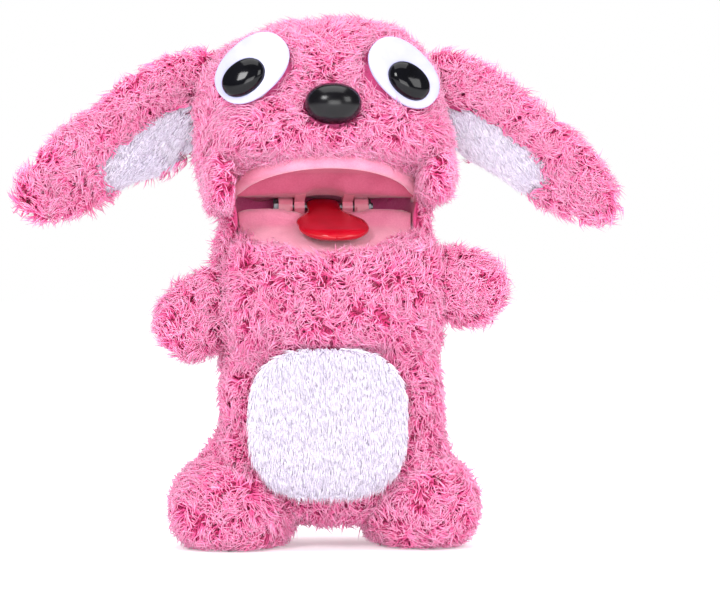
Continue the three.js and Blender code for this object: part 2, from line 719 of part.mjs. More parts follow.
for (const [i, [x, z]] of shellScrewSpots.entries()) {
  const spot = groupAt(puppet, x, FRAME_FRONT - GAP, z);
  addPart(spot, `shell_screw_${i + 1}`, panHeadScrew(SCREW_LENGTH), steel());
}
for (const [i, x] of jawScrewXs.entries()) {
  const spot = groupAt(puppet, x, FRAME_BACK + GAP, JAW_SCREW_Z);
  spot.rotation.z = Math.PI;
  addPart(spot, `jaw_screw_${i + 1}`, panHeadScrew(SCREW_LENGTH), steel());
}

// Return spring: turns round the lever's boss, one leg on the back shell, one behind the bar.
function returnSpring() {
  const points = [];
  const steps = 12;
  const turns = SPRING_TURNS * steps;
  const endX = SPRING_START + SPRING_TURNS * SPRING_PITCH;
  const barLeg = [
    [LEVER_HALF_WIDTH - 2, barBack + 1.6, LEVER_PIVOT_Z - SPRING_LEG],
    [SPRING_START - 1, barBack + 1.8, LEVER_PIVOT_Z - SPRING_LEG + 1],
    [SPRING_START, barBack + 2, LEVER_PIVOT_Z - SPRING_LEG + 4],
    [SPRING_START, LEVER_PIVOT_Y - SPRING_RADIUS, LEVER_PIVOT_Z - 6],
  ];
  for (const [x, y, z] of barLeg) {
    points.push(new THREE.Vector3(x, y, z));
  }
  for (let i = 0; i <= turns; i += 1) {
    const angle = (2 * Math.PI * i) / steps;
    points.push(new THREE.Vector3(
      SPRING_START + (SPRING_TURNS * SPRING_PITCH * i) / turns,
      LEVER_PIVOT_Y - SPRING_RADIUS * Math.cos(angle),
      LEVER_PIVOT_Z + SPRING_RADIUS * Math.sin(angle),
    ));
  }
  const shellLegEnd = FRAME_BACK - FRAME_WALL - SPRING_WIRE_RADIUS - GAP;
  for (const share of [0.35, 0.7, 1]) {
    points.push(new THREE.Vector3(
      endX,
      LEVER_PIVOT_Y + share * (shellLegEnd - LEVER_PIVOT_Y),
      LEVER_PIVOT_Z - SPRING_RADIUS - share * 4,
    ));
  }
  const wire = new THREE.Shape();
  wire.absarc(0, 0, SPRING_WIRE_RADIUS, 0, 2 * Math.PI, false);
  return new THREE.ExtrudeGeometry(wire, {
    steps: points.length,
    curveSegments: 3,
    bevelEnabled: false,
    extrudePath: new THREE.CatmullRomCurve3(points),
  });
}

addPart(puppet, 'return_spring', returnSpring(), steel());

// ---- ears, arms and feet ------------------------------------------------------------------

// A limb in its own frame, reaching along the side it is on, with its round root on the pivot.
function limb(sign, length, width, thickness, rootRadius, squareness) {
  const back = rootRadius * 0.7;
  const paddle = softForm(
    [length + back, thickness, width], [sign * (length - back) / 2, 0, 0], squareness, 14, 8,
  );
  const root = softForm([2 * rootRadius, thickness, 2 * rootRadius], [0, 0, 0], OVAL, 12, 6);
  return join(paddle, root);
}

// The space that a limb sweeps, as a round pocket and a fan of slots through the pivot.
function limbPocket(length, width, thickness, rootRadius, swing, reachSign) {
  const half = thickness / 2 + MOVING_GAP;
  const radius = rootRadius + MOVING_GAP;
  const fan = [rodAlongY(radius, 0, [-half, half], 0, 14)];
  for (const share of [-1, 0, 1]) {
    const far = length + 10;
    const span = reachSign > 0 ? [0, far] : [-far, 0];
    const slot = block(span, [-half, half], [-width / 2 - MOVING_GAP, width / 2 + MOVING_GAP]);
    fan.push(slot.rotateY(share * swing));
  }
  return join(...fan);
}

// An ear with a white patch let into the lower half of its front, both following one rounded form.
function linedEar(sign) {
  const formAt = (grow) => limb(
    sign, EAR_LENGTH + grow, EAR_WIDTH + 2 * grow, EAR_THICKNESS + 2 * grow,
    EAR_ROOT_RADIUS + grow, PADDLE,
  );
  const patchPrism = (grow) => uprightSlab(
    roundedOutline(
      EAR_LINING_LENGTH + 2 * grow, EAR_LINING_WIDTH + 2 * grow, EAR_LINING_WIDTH / 2.3 + grow,
    ),
    [-EAR_THICKNESS, 0], EAR_LINING_WIDTH / 2 - EAR_WIDTH / 2,
  ).translate(sign * (EAR_LINING_START + EAR_LINING_LENGTH / 2), 0, 0);
  const depth = EAR_LINING_THICKNESS - EAR_LINING_PROUD;
  return {
    lining: cut(common(formAt(EAR_LINING_PROUD), patchPrism(0)), formAt(-depth)),
    ear: cut(formAt(0), cut(patchPrism(GAP), formAt(-depth - GAP))),
  };
}

const earPockets = [];
const armPockets = [];
const rolledHalf = (width, thickness, roll) => 2 * Math.hypot(
  (width / 2) * Math.sin(roll), (thickness / 2) * Math.cos(roll),
);

for (const [side, sign] of Object.entries(sides)) {
  const roll = new THREE.Matrix4().makeRotationX(EAR_ROLL);
  const { ear, lining } = linedEar(sign);
  addPart(ears[side], `ear_${side}`, moved(ear, roll), pinkPlush());
  addPart(ears[side], `ear_lining_${side}`, moved(lining, roll), whitePlush());
  earPockets.push(inPuppet(limbPocket(
    EAR_LENGTH, EAR_WIDTH + 2 * EAR_LINING_PROUD,
    rolledHalf(EAR_WIDTH, EAR_THICKNESS + 2 * EAR_LINING_PROUD, EAR_ROLL), EAR_ROOT_RADIUS,
    EAR_SWING, sign,
  ), ears[side]));

  const armRoot = ARM_WIDTH / 2 - 0.5;
  const armForm = limb(sign, ARM_REACH, ARM_WIDTH, ARM_THICKNESS, armRoot, PLUMP);
  addPart(arms[side], `arm_${side}`, armForm, pinkPlush());
  armPockets.push(inPuppet(
    limbPocket(ARM_REACH, ARM_WIDTH, ARM_THICKNESS, armRoot, ARM_SWING, sign), arms[side],
  ));
}

// ---- eyes and nose ------------------------------------------------------------------------

// A washer pushed on to a post from inside the head, in the post's own frame.
function pushWasher() {
  const top = -WASHER_DEPTH;
  return cut(
    rodAlongZ(WASHER_RADIUS, 0, 0, [top - WASHER_THICKNESS, top]),
    rodAlongZ(POST_RADIUS + GAP, 0, 0, [top - WASHER_THICKNESS - 1, top + 1], 10),
  );
}

const post = (top) => rodAlongZ(POST_RADIUS, 0, 0, [-POST_LENGTH, top], 10);
const postHole = () => rodAlongZ(POST_RADIUS + GAP, 0, 0, [-POST_LENGTH - 2, 3], 10);
const washerPocket = () => rodAlongZ(
  WASHER_RADIUS + SOFT_GAP, 0, 0, [-POST_LENGTH - 1.5, -WASHER_DEPTH + SOFT_GAP], 14,
);

function pupil() {
  const dome = softForm([PUPIL_LENGTH, PUPIL_WIDTH, 2 * PUPIL_HEIGHT], [0, 0, 0], OVAL, 16, 8);
  const seat = block([-REACH, REACH], [-REACH, REACH], [-REACH, 0]);
  return join(cut(dome, seat), post(1));
}

const facePockets = [];
const faceSeats = [];
for (const [side, sign] of Object.entries(sides)) {
  const tilt = -sign * EYE_TILT;
  const pupilSpot = groupAt(eyes[side], sign * PUPIL_OUT, -PUPIL_DOWN, EYE_PLATE + GAP);
  pupilSpot.updateMatrixWorld(true);
  const white = cut(
    softForm([EYE_LENGTH, EYE_WIDTH, 2 * EYE_PLATE], [0, 0, 0], PLUMP, 24, 6),
    block([-REACH, REACH], [-REACH, REACH], [-REACH, 0]),
  ).rotateZ(tilt);
  const hole = postHole().translate(sign * PUPIL_OUT, -PUPIL_DOWN, 0);
  const above = block([-REACH, REACH], [-REACH, REACH], [EYE_PLATE - EYE_FLAT, REACH]);
  addPart(eyes[side], `eye_white_${side}`, cut(white, hole, above), whitePlastic());
  addPart(pupilSpot, `pupil_${side}`, pupil().rotateZ(tilt), blackPlastic());
  addPart(pupilSpot, `eye_washer_${side}`, pushWasher(), greyPlastic());
  const whiteSeat = cut(
    softForm([EYE_LENGTH + 1, EYE_WIDTH + 1, EYE_SEAT_DEPTH], [0, 0, 0], PLUMP, 24, 8),
    block([-REACH, REACH], [-REACH, REACH], [-REACH, -GAP]),
  ).rotateZ(tilt);
  faceSeats.push(inPuppet(whiteSeat, eyes[side]), inPuppet(postHole(), pupilSpot));
  facePockets.push(inPuppet(washerPocket(), pupilSpot), inPuppet(postHole(), pupilSpot));
}

function noseForm(room) {
  return softForm(
    [NOSE_WIDTH + 2 * room, NOSE_HEIGHT + 2 * room, NOSE_DEPTH + 2 * room], [0, 0, 0], OVAL, 18, 10,
  );
}

const noseFlat = -3;                  // the nose's own back, behind its middle
const noseBack = (z) => block([-REACH, REACH], [-REACH, REACH], [-REACH, z]);
addPart(nose, 'nose', join(cut(noseForm(0), noseBack(noseFlat)), post(noseFlat + 1)), blackPlastic());
addPart(nose, 'nose_washer', pushWasher(), greyPlastic());
faceSeats.push(
  inPuppet(cut(noseForm(SOFT_GAP), noseBack(noseFlat - GAP)), nose), inPuppet(postHole(), nose),
);
facePockets.push(inPuppet(washerPocket(), nose), inPuppet(postHole(), nose));

// ---- head ---------------------------------------------------------------------------------

// Skull and muzzle as one stuffed form, taken in all round by an inset.
function headForm(inset, around, up) {
  const take = 2 * inset;
  const skull = softForm(
    [HEAD_WIDTH - take, HEAD_DEPTH - take, HEAD_HEIGHT - take],
    [0, HEAD_MIDDLE_Y, HEAD_TOP - HEAD_HEIGHT / 2], BODY_SQUARE, around, up,
  );
  const muzzle = softForm(
    [MUZZLE_WIDTH - take, MUZZLE_DEPTH - take, MUZZLE_HEIGHT - take],
    [0, MUZZLE_FRONT + MUZZLE_DEPTH / 2, MUZZLE_MIDDLE_Z], MUZZLE_SQUARE, around, up,
  );
  return join(skull, muzzle);
}

// Everything below the head: under the lifted jaw in front, and under the neck gap behind.
function belowHead(offset) {
  const front = [
    HINGE_Y - REACH * Math.cos(UPPER_JAW_LIFT), HINGE_Z + REACH * Math.sin(UPPER_JAW_LIFT),
  ];
  const back = [
    HINGE_Y + REACH * Math.cos(NECK_GAP_UPPER), HINGE_Z + REACH * Math.sin(NECK_GAP_UPPER),
  ];
  return sideProfile([
    [HINGE_Y, HINGE_Z + offset],
    [front[0], front[1] + offset],
    [front[0], -REACH],
    [back[0], -REACH],
    [back[0], back[1] + offset],
  ], [-REACH, REACH]);
}

const hingeRoomSpan = [-OUTER_KNUCKLE[1] - 5, OUTER_KNUCKLE[1] + 5];
const hingeRoom = rodAlongX(KNUCKLE_RADIUS + 2.5, hingeRoomSpan, HINGE_Y, HINGE_Z, 14);

function jawPocket(group, halfWidth, start, reach, [z0, z1]) {
  const wide = halfWidth + SOFT_GAP;
  const oval = levelSlab(jawOutline(wide, start, reach + SOFT_GAP), [z0, z1], 14);
  return inPuppet(join(oval, block([-wide, wide], [-start - GAP, 0], [z0, z1])), group);
}

const aboveUpperPlate = plateRange[1] + SOFT_GAP;
const upperPocket = jawPocket(
  upperJaw, UPPER_LINING_HALF_WIDTH, UPPER_LINING_START, UPPER_LINING_REACH,
  [-SHALLOW, aboveUpperPlate],
);
const upperStuffingFloor = inPuppet(
  block([-REACH, REACH], [-REACH, REACH], [-REACH, plateRange[1] + GAP]), upperJaw,
);

const headHollow = cut(headForm(PELT, 12, 8), upperStuffingFloor);
addPart(puppet, 'head_pelt', cut(
  headForm(0, 20, 12), belowHead(LIP_NEAR), headHollow, upperPocket, hingeRoom,
  ...earPockets, ...faceSeats, ...facePockets,
), pinkPlush());

const stuffingFloor = inPuppet(
  block([-REACH, REACH], [-REACH, REACH], [-REACH, aboveUpperPlate + SOFT_GAP]), upperJaw,
);
addPart(puppet, 'head_stuffing', cut(
  headForm(PELT + SOFT_GAP, 12, 8), stuffingFloor, belowHead(LIP_NEAR + SOFT_GAP), hingeRoom,
  ...earPockets, ...facePockets,
), stuffing());

// ---- body ---------------------------------------------------------------------------------

function bodyForm(inset, around, up) {
  const take = 2 * inset;
  const chest = softForm(
    [CHEST_WIDTH - take, CHEST_DEPTH - take, CHEST_HEIGHT - take],
    [0, BODY_MIDDLE_Y, CHEST_MIDDLE_Z], BODY_SQUARE, around, up,
  );
  const belly = softForm(
    [BELLY_WIDTH - take, BELLY_DEPTH - take, BELLY_HEIGHT - take],
    [0, BODY_MIDDLE_Y, BELLY_MIDDLE_Z], BODY_SQUARE, around, up,
  );
  return join(chest, belly);
}

function aboveBody(offset) {
  const front = [
    HINGE_Y - REACH * Math.cos(LOWER_JAW_DIP), HINGE_Z - REACH * Math.sin(LOWER_JAW_DIP),
  ];
  const back = [
    HINGE_Y + REACH * Math.cos(NECK_GAP_LOWER), HINGE_Z - REACH * Math.sin(NECK_GAP_LOWER),
  ];
  return sideProfile([
    [HINGE_Y, HINGE_Z - offset],
    [back[0], back[1] - offset],
    [back[0], REACH * 2],
    [front[0], REACH * 2],
    [front[0], front[1] - offset],
  ], [-REACH, REACH]);
}

// The room kept free in the body: the frame with its pin ends and screw heads, the crank and fork,
// the lower jaw, and the path of the thumb plate with its pad and patch.
const pinEndRoom = 3.2;
const screwHeadRoom = SCREW_HEAD + GAP + SOFT_GAP;
const frameRoom = block(
  [-FRAME_HALF_WIDTH - pinEndRoom, FRAME_HALF_WIDTH + pinEndRoom],
  [FRAME_FRONT - screwHeadRoom, FRAME_BACK + screwHeadRoom],
  [FRAME_BOTTOM - SOFT_GAP, frameTop + SOFT_GAP],
);
const crankSweep = CRANK_RADIUS + CRANK_BOSS_RADIUS + MOVING_GAP;
const crankRoom = block(
  hingeRoomSpan, [HINGE_Y - crankSweep, HINGE_Y + crankSweep], [frameTop - 1, HINGE_Z + REACH],
);
const lowerPocket = jawPocket(
  lowerJaw, LOWER_LINING_HALF_WIDTH, LOWER_LINING_START, LOWER_LINING_REACH,
  [-plateRange[1] - SOFT_GAP, SHALLOW],
);

// The lever's swing when the mouth shuts is the crank pin's travel over its height above the lever
// pin. At its outer end the patch has risen by its distance before the pivot times that swing.
const crankTravel = CRANK_RADIUS * (Math.sin(CRANK_REST) + Math.sin(MOUTH_CLOSING - CRANK_REST));
const leverSwing = crankTravel / (HINGE_Z + crankPinAt[1] - LEVER_PIVOT_Z);
const patchRise = (LEVER_PIVOT_Y - patchFront) * leverSwing;
const tummyRoom = uprightSlab(
  roundedOutline(
    TUMMY_WIDTH + 2 * MOVING_GAP, TUMMY_HEIGHT + 2 * MOVING_GAP + patchRise, TUMMY_CORNER,
  ),
  [patchFront - SHALLOW, FRAME_FRONT], TUMMY_Z + patchRise / 2,
);

const innerRooms = [frameRoom, crankRoom, lowerPocket, tummyRoom];
const ground = block([-REACH, REACH], [-REACH, REACH], [-REACH, 0]);
const footPockets = [];
for (const side of Object.keys(sides)) {
  const footForm = (grow) => inPuppet(softForm(
    [FOOT_WIDTH + grow, FOOT_DEPTH + grow, FOOT_HEIGHT + grow], [0, 0, 0], PLUMP, 18, 10,
  ), feet[side]);
  addPart(puppet, `foot_${side}`, cut(footForm(0), ground, ...innerRooms), pinkPlush());
  footPockets.push(footForm(2 * SOFT_GAP));
}

const bodyTools = [...innerRooms, ...armPockets, ...footPockets];
const bodyHollow = cut(bodyForm(PELT, 12, 6), aboveBody(PELT + LIP_NEAR));
const pelt = cut(bodyForm(0, 20, 10), aboveBody(LIP_NEAR), bodyHollow, ...bodyTools);
const inFront = block([-REACH, REACH], [-REACH, SIDE_SEAM_Y], [SEAT_SEAM_Z, REACH]);
const frontAndSeam = block(
  [-REACH, REACH], [-REACH, SIDE_SEAM_Y + SOFT_GAP], [SEAT_SEAM_Z - SOFT_GAP, REACH],
);
addPart(puppet, 'body_front_pelt', common(pelt, inFront), pinkPlush());
addPart(puppet, 'body_back_pelt', cut(pelt, frontAndSeam), pinkPlush());

// Stuffing: one pad in the seat and one up each side of the frame, with the pelt close behind it.
const behindFrame = block(
  [-FRAME_HALF_WIDTH - pinEndRoom, FRAME_HALF_WIDTH + pinEndRoom], [FRAME_BACK, REACH],
  [FRAME_BOTTOM - SOFT_GAP, REACH],
);
const filling = cut(
  bodyForm(PELT + SOFT_GAP, 12, 6), aboveBody(PELT + LIP_NEAR + SOFT_GAP), behindFrame, ...bodyTools,
);
const seat = block([-REACH, REACH], [-REACH, REACH], [-REACH, FRAME_BOTTOM - SOFT_GAP]);
addPart(puppet, 'seat_stuffing', common(filling, seat), stuffing());
for (const [side, sign] of Object.entries(sides)) {
  const across = sign > 0 ? [SOFT_GAP / 2, REACH] : [-REACH, -SOFT_GAP / 2];
  const half = block(across, [-REACH, REACH], [FRAME_BOTTOM, REACH]);
  addPart(puppet, `body_stuffing_${side}`, common(filling, half), stuffing());
}

export default puppet;
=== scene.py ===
"""Shaggy plush puppet with a hinged mouth: furred skins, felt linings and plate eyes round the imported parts.

Lengths are millimetres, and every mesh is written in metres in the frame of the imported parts.
"""

import math

import bpy
import numpy as np
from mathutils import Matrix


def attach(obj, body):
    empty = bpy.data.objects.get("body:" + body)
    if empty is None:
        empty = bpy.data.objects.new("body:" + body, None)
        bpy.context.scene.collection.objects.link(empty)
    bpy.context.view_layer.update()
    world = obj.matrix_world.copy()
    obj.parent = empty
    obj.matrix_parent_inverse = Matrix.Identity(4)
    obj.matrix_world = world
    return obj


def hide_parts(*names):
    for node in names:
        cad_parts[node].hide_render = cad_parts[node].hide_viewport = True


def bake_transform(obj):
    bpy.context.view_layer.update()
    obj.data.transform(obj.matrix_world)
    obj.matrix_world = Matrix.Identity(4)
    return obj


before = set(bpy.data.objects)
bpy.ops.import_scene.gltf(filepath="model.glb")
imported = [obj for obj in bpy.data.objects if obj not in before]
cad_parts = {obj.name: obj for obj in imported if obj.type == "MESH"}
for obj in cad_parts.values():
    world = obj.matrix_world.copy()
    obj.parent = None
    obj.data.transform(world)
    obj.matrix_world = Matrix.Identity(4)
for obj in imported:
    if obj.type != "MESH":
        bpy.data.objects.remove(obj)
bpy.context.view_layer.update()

MM = 0.001
rng = np.random.default_rng(41)

# ---- where the joints and forms are, in millimetres --------------------------------------------

HINGE = np.array((0.0, 18.0, 130.0))
# Degrees that the upper jaw is lifted and the lower jaw dipped at rest.
UPPER_LIFT = 18.5
LOWER_DIP = 20
NECK_UPPER = math.radians(9)
NECK_LOWER = math.radians(3)
EYE_SPOT = {"left": (-29.8, -27.3, 179.5), "right": (26.8, -26.9, 178.2)}
PUPIL_SHIFT = {"left": (-2.6, -4.3, 1.5), "right": (0.9, -3.8, 1.5)}
EYE_OUTWARD = math.radians(17)
EYE_UPWARD = math.radians(14)
EAR_SPOT = {"left": (-47.0, 8.0, 175.5), "right": (47.0, 8.0, 175.5)}
EAR_DROOP = {"left": 34, "right": 36}
EAR_ROLL = 25
ARM_SPOT = {"left": (-42.5, -2.0, 94.5), "right": (42.5, -2.0, 101.0)}
ARM_DROOP = {"left": 47, "right": 14}
ARM_BROAD = {"left": 31, "right": 31}
SIDES = {"left": -1, "right": 1}
BAKE_MAP = "OFBake"

# ---- camera ------------------------------------------------------------------------------------

CAMERA_TURN = math.radians(-4.5)
CAMERA_AWAY = 0.9
CAMERA_HEIGHT = 0.0943
CAMERA_SHIFT = 0.0465
SENSOR = 36.0
LENS = 117.5

camera_data = bpy.data.cameras.new("studio_camera")
camera = bpy.data.objects.new("studio_camera", camera_data)
bpy.context.scene.collection.objects.link(camera)
camera_data.sensor_width = SENSOR
camera_data.lens = LENS
camera_data.shift_x = CAMERA_SHIFT
camera_data.clip_start = 0.01
camera_data.clip_end = 50.0
camera.location = (
    CAMERA_AWAY * math.sin(CAMERA_TURN), -CAMERA_AWAY * math.cos(CAMERA_TURN), CAMERA_HEIGHT
)
camera.rotation_euler = (math.pi / 2, 0.0, CAMERA_TURN)
bpy.context.scene.camera = camera


# ---- materials ---------------------------------------------------------------------------------

def linear(hex_colour):
    """An sRGB hex colour as linear red, green, blue and a full alpha."""
    parts = [int(hex_colour[i:i + 2], 16) / 255 for i in (1, 3, 5)]
    return tuple(((c + 0.055) / 1.055) ** 2.4 if c > 0.04045 else c / 12.92 for c in parts) + (1.0,)


def add(tree, kind, settings=None, links=None):
    """Adds one node: settings are its properties and socket values, links its inputs' sources."""
    node = tree.nodes.new("ShaderNode" + kind)
    for key, value in (settings or {}).items():
        if isinstance(key, str) and hasattr(node, key):
            setattr(node, key, value)
        else:
            node.inputs[key].default_value = value
    for key, source in (links or {}).items():
        tree.links.new(source, node.inputs[key])
    return node


def ramp(tree, factor, stops):
    """A colour ramp through (place, hex) stops, driven by factor."""
    node = add(tree, "ValToRGB", links={"Fac": factor})
    band = node.color_ramp
    while len(band.elements) < len(stops):
        band.elements.new(0.5)
    for element, (place, colour) in zip(band.elements, stops):
        element.position = place
        element.color = linear(colour)
    return node.outputs["Color"]


def finish_named(name, shader):
    """An empty node material whose Principled shader has these constant socket values."""
    made = bpy.data.materials.new(name)
    made.use_nodes = True
    tree = made.node_tree
    body = tree.nodes["Principled BSDF"]
    for key, value in shader.items():
        body.inputs[key].default_value = value
    return made, tree, body


def fur_finish(name, deep, along, strands):
    """Polyester pile: painted shade at a deep root, painted light at a pale tip, and each tuft has its own
    tone.

    The piece's UV map holds the tuft's tone in U and the place along the hair in V."""
    made, tree, body = finish_named(name, {
        "Roughness": 0.6, "IOR": 1.5, "Sheen Weight": 0.12, "Sheen Roughness": 0.45,
        "Sheen Tint": linear("#FFD3EA"), "Specular IOR Level": 0.18,
    })
    place = add(tree, "UVMap", {"uv_map": BAKE_MAP})
    split = add(tree, "SeparateXYZ", links={0: place.outputs["UV"]})
    # The root-to-tip ramp is painted light: its deep root is painted shade at the foot of the pile, its pale
    # tip painted light.
    length = ramp(tree, split.outputs["Y"], along)
    tone = ramp(tree, split.outputs["X"], strands)
    mixed = add(tree, "Mix", {"data_type": "RGBA", "blend_type": "MULTIPLY"})
    mixed.inputs[0].default_value = 1.0
    tree.links.new(length, mixed.inputs[6])
    tree.links.new(tone, mixed.inputs[7])
    tree.links.new(mixed.outputs[2], body.inputs["Base Color"])
    made.diffuse_color = linear(deep)
    return made


def cloth_finish(name, low, high, grain_mm, shader, bump=0.25, blotch_mm=9.0):
    """A matted or knitted cloth: two tones mixed by a coarse blotch and a fine grain, the grain as bump."""
    made, tree, body = finish_named(name, shader)
    spot = add(tree, "TexCoord")
    blotch = add(tree, "TexNoise", {"Scale": 1000 / blotch_mm, "Detail": 2.0},
                 {"Vector": spot.outputs["Object"]})
    grain = add(tree, "TexNoise", {"Scale": 1000 / grain_mm, "Detail": 4.0, "Roughness": 0.7},
                {"Vector": spot.outputs["Object"]})
    both = add(tree, "Math", {"operation": "ADD"},
               {0: blotch.outputs["Fac"], 1: grain.outputs["Fac"]})
    half = add(tree, "Math", {"operation": "MULTIPLY", 1: 0.5}, {0: both.outputs[0]})
    colour = ramp(tree, half.outputs[0], [(0.36, low), (0.62, high)])
    tree.links.new(colour, body.inputs["Base Color"])
    relief = add(tree, "Bump", {"Strength": bump, "Distance": grain_mm * 0.35 * MM},
                 {"Height": grain.outputs["Fac"]})
    tree.links.new(relief.outputs["Normal"], body.inputs["Normal"])
    return made


def moulded_finish(name, low, high, shader, ripple_mm=6.0, bump=0.04):
    """A moulded or turned hard surface: a faint flow mottling of the colour and a very shallow ripple."""
    made, tree, body = finish_named(name, shader)
    spot = add(tree, "TexCoord")
    flow = add(tree, "TexNoise", {"Scale": 1000 / ripple_mm, "Detail": 3.0},
               {"Vector": spot.outputs["Object"]})
    colour = ramp(tree, flow.outputs["Fac"], [(0.3, low), (0.7, high)])
    tree.links.new(colour, body.inputs["Base Color"])
    relief = add(tree, "Bump", {"Strength": bump, "Distance": 0.15 * MM}, {"Height": flow.outputs["Fac"]})
    tree.links.new(relief.outputs["Normal"], body.inputs["Normal"])
    return made


# Curly polyester fur: deep pink roots, painted shade in the crevices, paling to tips in painted light.
pink_pile = fur_finish(
    "curly_polyester_pile_pink", "#E87FB0",
    [(0.0, "#DC2F77"), (0.25, "#E94C94"), (0.6, "#F485B8"), (1.0, "#FFCBE5")],
    [(0.0, "#F6CADC"), (0.25, "#FBE4EE"), (0.6, "#FFFAFD"), (1.0, "#FFFFFF")],
)
# Short brushed plush: cool white with a little lilac, the roots a touch darker as painted shade.
white_pile = fur_finish(
    "brushed_short_plush_white", "#E6DCF2",
    [(0.0, "#EFE9F9"), (0.5, "#F3EEFB"), (1.0, "#F8F5FE")],
    [(0.0, "#F8F5FC"), (1.0, "#FFFFFF")],
)
# Knitted backing under the pink pile: pink cloth, darkened as painted shade for the bottom of the crevices.
pink_backing = cloth_finish(
    "knitted_backing_pink", "#DB4585", "#E9659F", 0.9,
    {"Roughness": 0.95, "Sheen Weight": 0.2}, 0.4,
)
# Knitted backing under the white plush.
white_backing = cloth_finish(
    "knitted_backing_white", "#EDE6F8", "#F6F2FC", 0.9,
    {"Roughness": 0.95, "Sheen Weight": 0.3}, 0.3,
)
# Needled polyester felt: soft pink, matted, with a faint fuzz that catches the light.
mouth_felt = cloth_finish(
    "needled_felt_pink", "#DB7F9F", "#EC9BB6", 0.7,
    {"Roughness": 0.92, "Sheen Weight": 0.5, "Sheen Roughness": 0.5}, 0.35,
)
# The same felt inside the upper jaw, in a deeper pink: painted shade for the hollow palate, which lies in
# shadow.
palate_painted_shade = cloth_finish(
    "needled_felt_painted_shade_pink", "#BC5474", "#CC6685", 0.7,
    {"Roughness": 0.94, "Sheen Weight": 0.2, "Sheen Roughness": 0.5}, 0.35,
)
# Moulded ABS, glossy red: clean highlight along the edge.
tongue_red = moulded_finish(
    "moulded_abs_gloss_red", "#A90012", "#B8001A", {"Roughness": 0.2, "IOR": 1.54},
)
# Moulded polypropylene, satin pink: soft highlight on the knuckles.
hinge_pink = moulded_finish(
    "moulded_polypropylene_satin_pink", "#D97990", "#E58EA2", {"Roughness": 0.38, "IOR": 1.49},
)
# Moulded ABS, glossy cool white.
eye_white_gloss = moulded_finish(
    "moulded_abs_gloss_white", "#B0B0D6", "#B8B8DC", {"Roughness": 0.24, "IOR": 1.54},
)
# Moulded ABS, polished black: deep, with sharp window-like highlights.
pupil_black = moulded_finish(
    "moulded_abs_polished_black", "#07070A", "#0D0D12",
    {"Roughness": 0.1, "IOR": 1.54, "Specular IOR Level": 0.22}, bump=0.01,
)
# Moulded ABS nose, black with a slightly duller skin.
nose_black = moulded_finish(
    "moulded_abs_satin_black", "#08070A", "#0E0C11",
    {"Roughness": 0.22, "IOR": 1.54, "Specular IOR Level": 0.28}, bump=0.05,
)
# Moulded ABS inner frame, matte pale grey with a spark-eroded grain.
frame_grey = moulded_finish(
    "moulded_abs_matt_grey", "#BEBEC2", "#D0D0D3", {"Roughness": 0.6, "IOR": 1.54}, 1.2, 0.2,
)
# Drawn and zinc-plated steel for pins, screws and the spring.
plated_steel = moulded_finish(
    "zinc_plated_steel", "#74777C", "#85888D", {"Metallic": 1.0, "Roughness": 0.5}, 0.8, 0.1,
)
# Open-cell polyurethane foam, cream.
cream_foam = cloth_finish(
    "open_cell_foam_cream", "#E2D3A0", "#F3E8C4", 1.1, {"Roughness": 1.0}, 0.6,
)


# ---- meshes from whole arrays ------------------------------------------------------------------

def piece(name, points, faces, finish, tone=None):
    """A smooth mesh from arrays of points (mm) and faces, with an optional UV pair for each point."""
    mesh = bpy.data.meshes.new(name)
    count, corners = faces.shape
    mesh.vertices.add(len(points))
    mesh.vertices.foreach_set("co", np.ascontiguousarray(points * MM, np.float32).ravel())
    mesh.loops.add(count * corners)
    mesh.loops.foreach_set("vertex_index", np.ascontiguousarray(faces, np.int32).ravel())
    mesh.polygons.add(count)
    mesh.polygons.foreach_set("loop_start", np.arange(0, count * corners, corners, dtype=np.int32))
    mesh.polygons.foreach_set("use_smooth", np.full(count, True))
    if tone is not None:
        layer = mesh.uv_layers.new(name=BAKE_MAP)
        layer.data.foreach_set("uv", np.ascontiguousarray(tone[faces.ravel()], np.float32).ravel())
    mesh.update(calc_edges=True)
    mesh.materials.append(finish)
    made = bpy.data.objects.new(name, mesh)
    bpy.context.scene.collection.objects.link(made)
    return made


def ring_faces(rows, sides, first, start, end):
    """The triangles of a closed skin: rings of points from number first on, fanned to a start and an end."""
    r, c = np.meshgrid(np.arange(rows - 1), np.arange(sides), indexing="ij")
    a, b = (first + r * sides + c).ravel(), (first + r * sides + (c + 1) % sides).ravel()
    ring = np.arange(sides)
    after = (ring + 1) % sides
    last = first + (rows - 1) * sides
    return np.vstack((
        np.stack((a, b, b + sides), -1), np.stack((a, b + sides, a + sides), -1),
        np.stack((np.full(sides, start), first + after, first + ring), -1),
        np.stack((np.full(sides, end), last + ring, last + after), -1),
    ))


def ball_grid(around, up):
    """Unit directions on rows of latitude between two poles, and the outward triangles that join them."""
    lat = np.linspace(-np.pi / 2, np.pi / 2, up + 1)[1:-1]
    lon = np.arange(around) * 2 * np.pi / around
    la, lo = np.meshgrid(lat, lon, indexing="ij")
    rows = np.stack((np.cos(la) * np.cos(lo), np.cos(la) * np.sin(lo), np.sin(la)), -1).reshape(-1, 3)
    directions = np.vstack(((0, 0, -1.0), rows, (0, 0, 1.0)))
    return directions, ring_faces(up - 1, around, 1, 0, len(directions) - 1)


def unit(vectors):
    """Each row divided by its length."""
    return vectors / np.maximum(np.linalg.norm(vectors, axis=-1, keepdims=True), 1e-9)


def turn(axis, degrees):
    """The matrix of a right-handed turn about the x, y or z axis."""
    a = math.radians(degrees)
    c, s = math.cos(a), math.sin(a)
    return {
        "x": np.array(((1, 0, 0), (0, c, -s), (0, s, c))),
        "y": np.array(((c, 0, s), (0, 1, 0), (-s, 0, c))),
        "z": np.array(((c, -s, 0), (s, c, 0), (0, 0, 1.0))),
    }[axis]


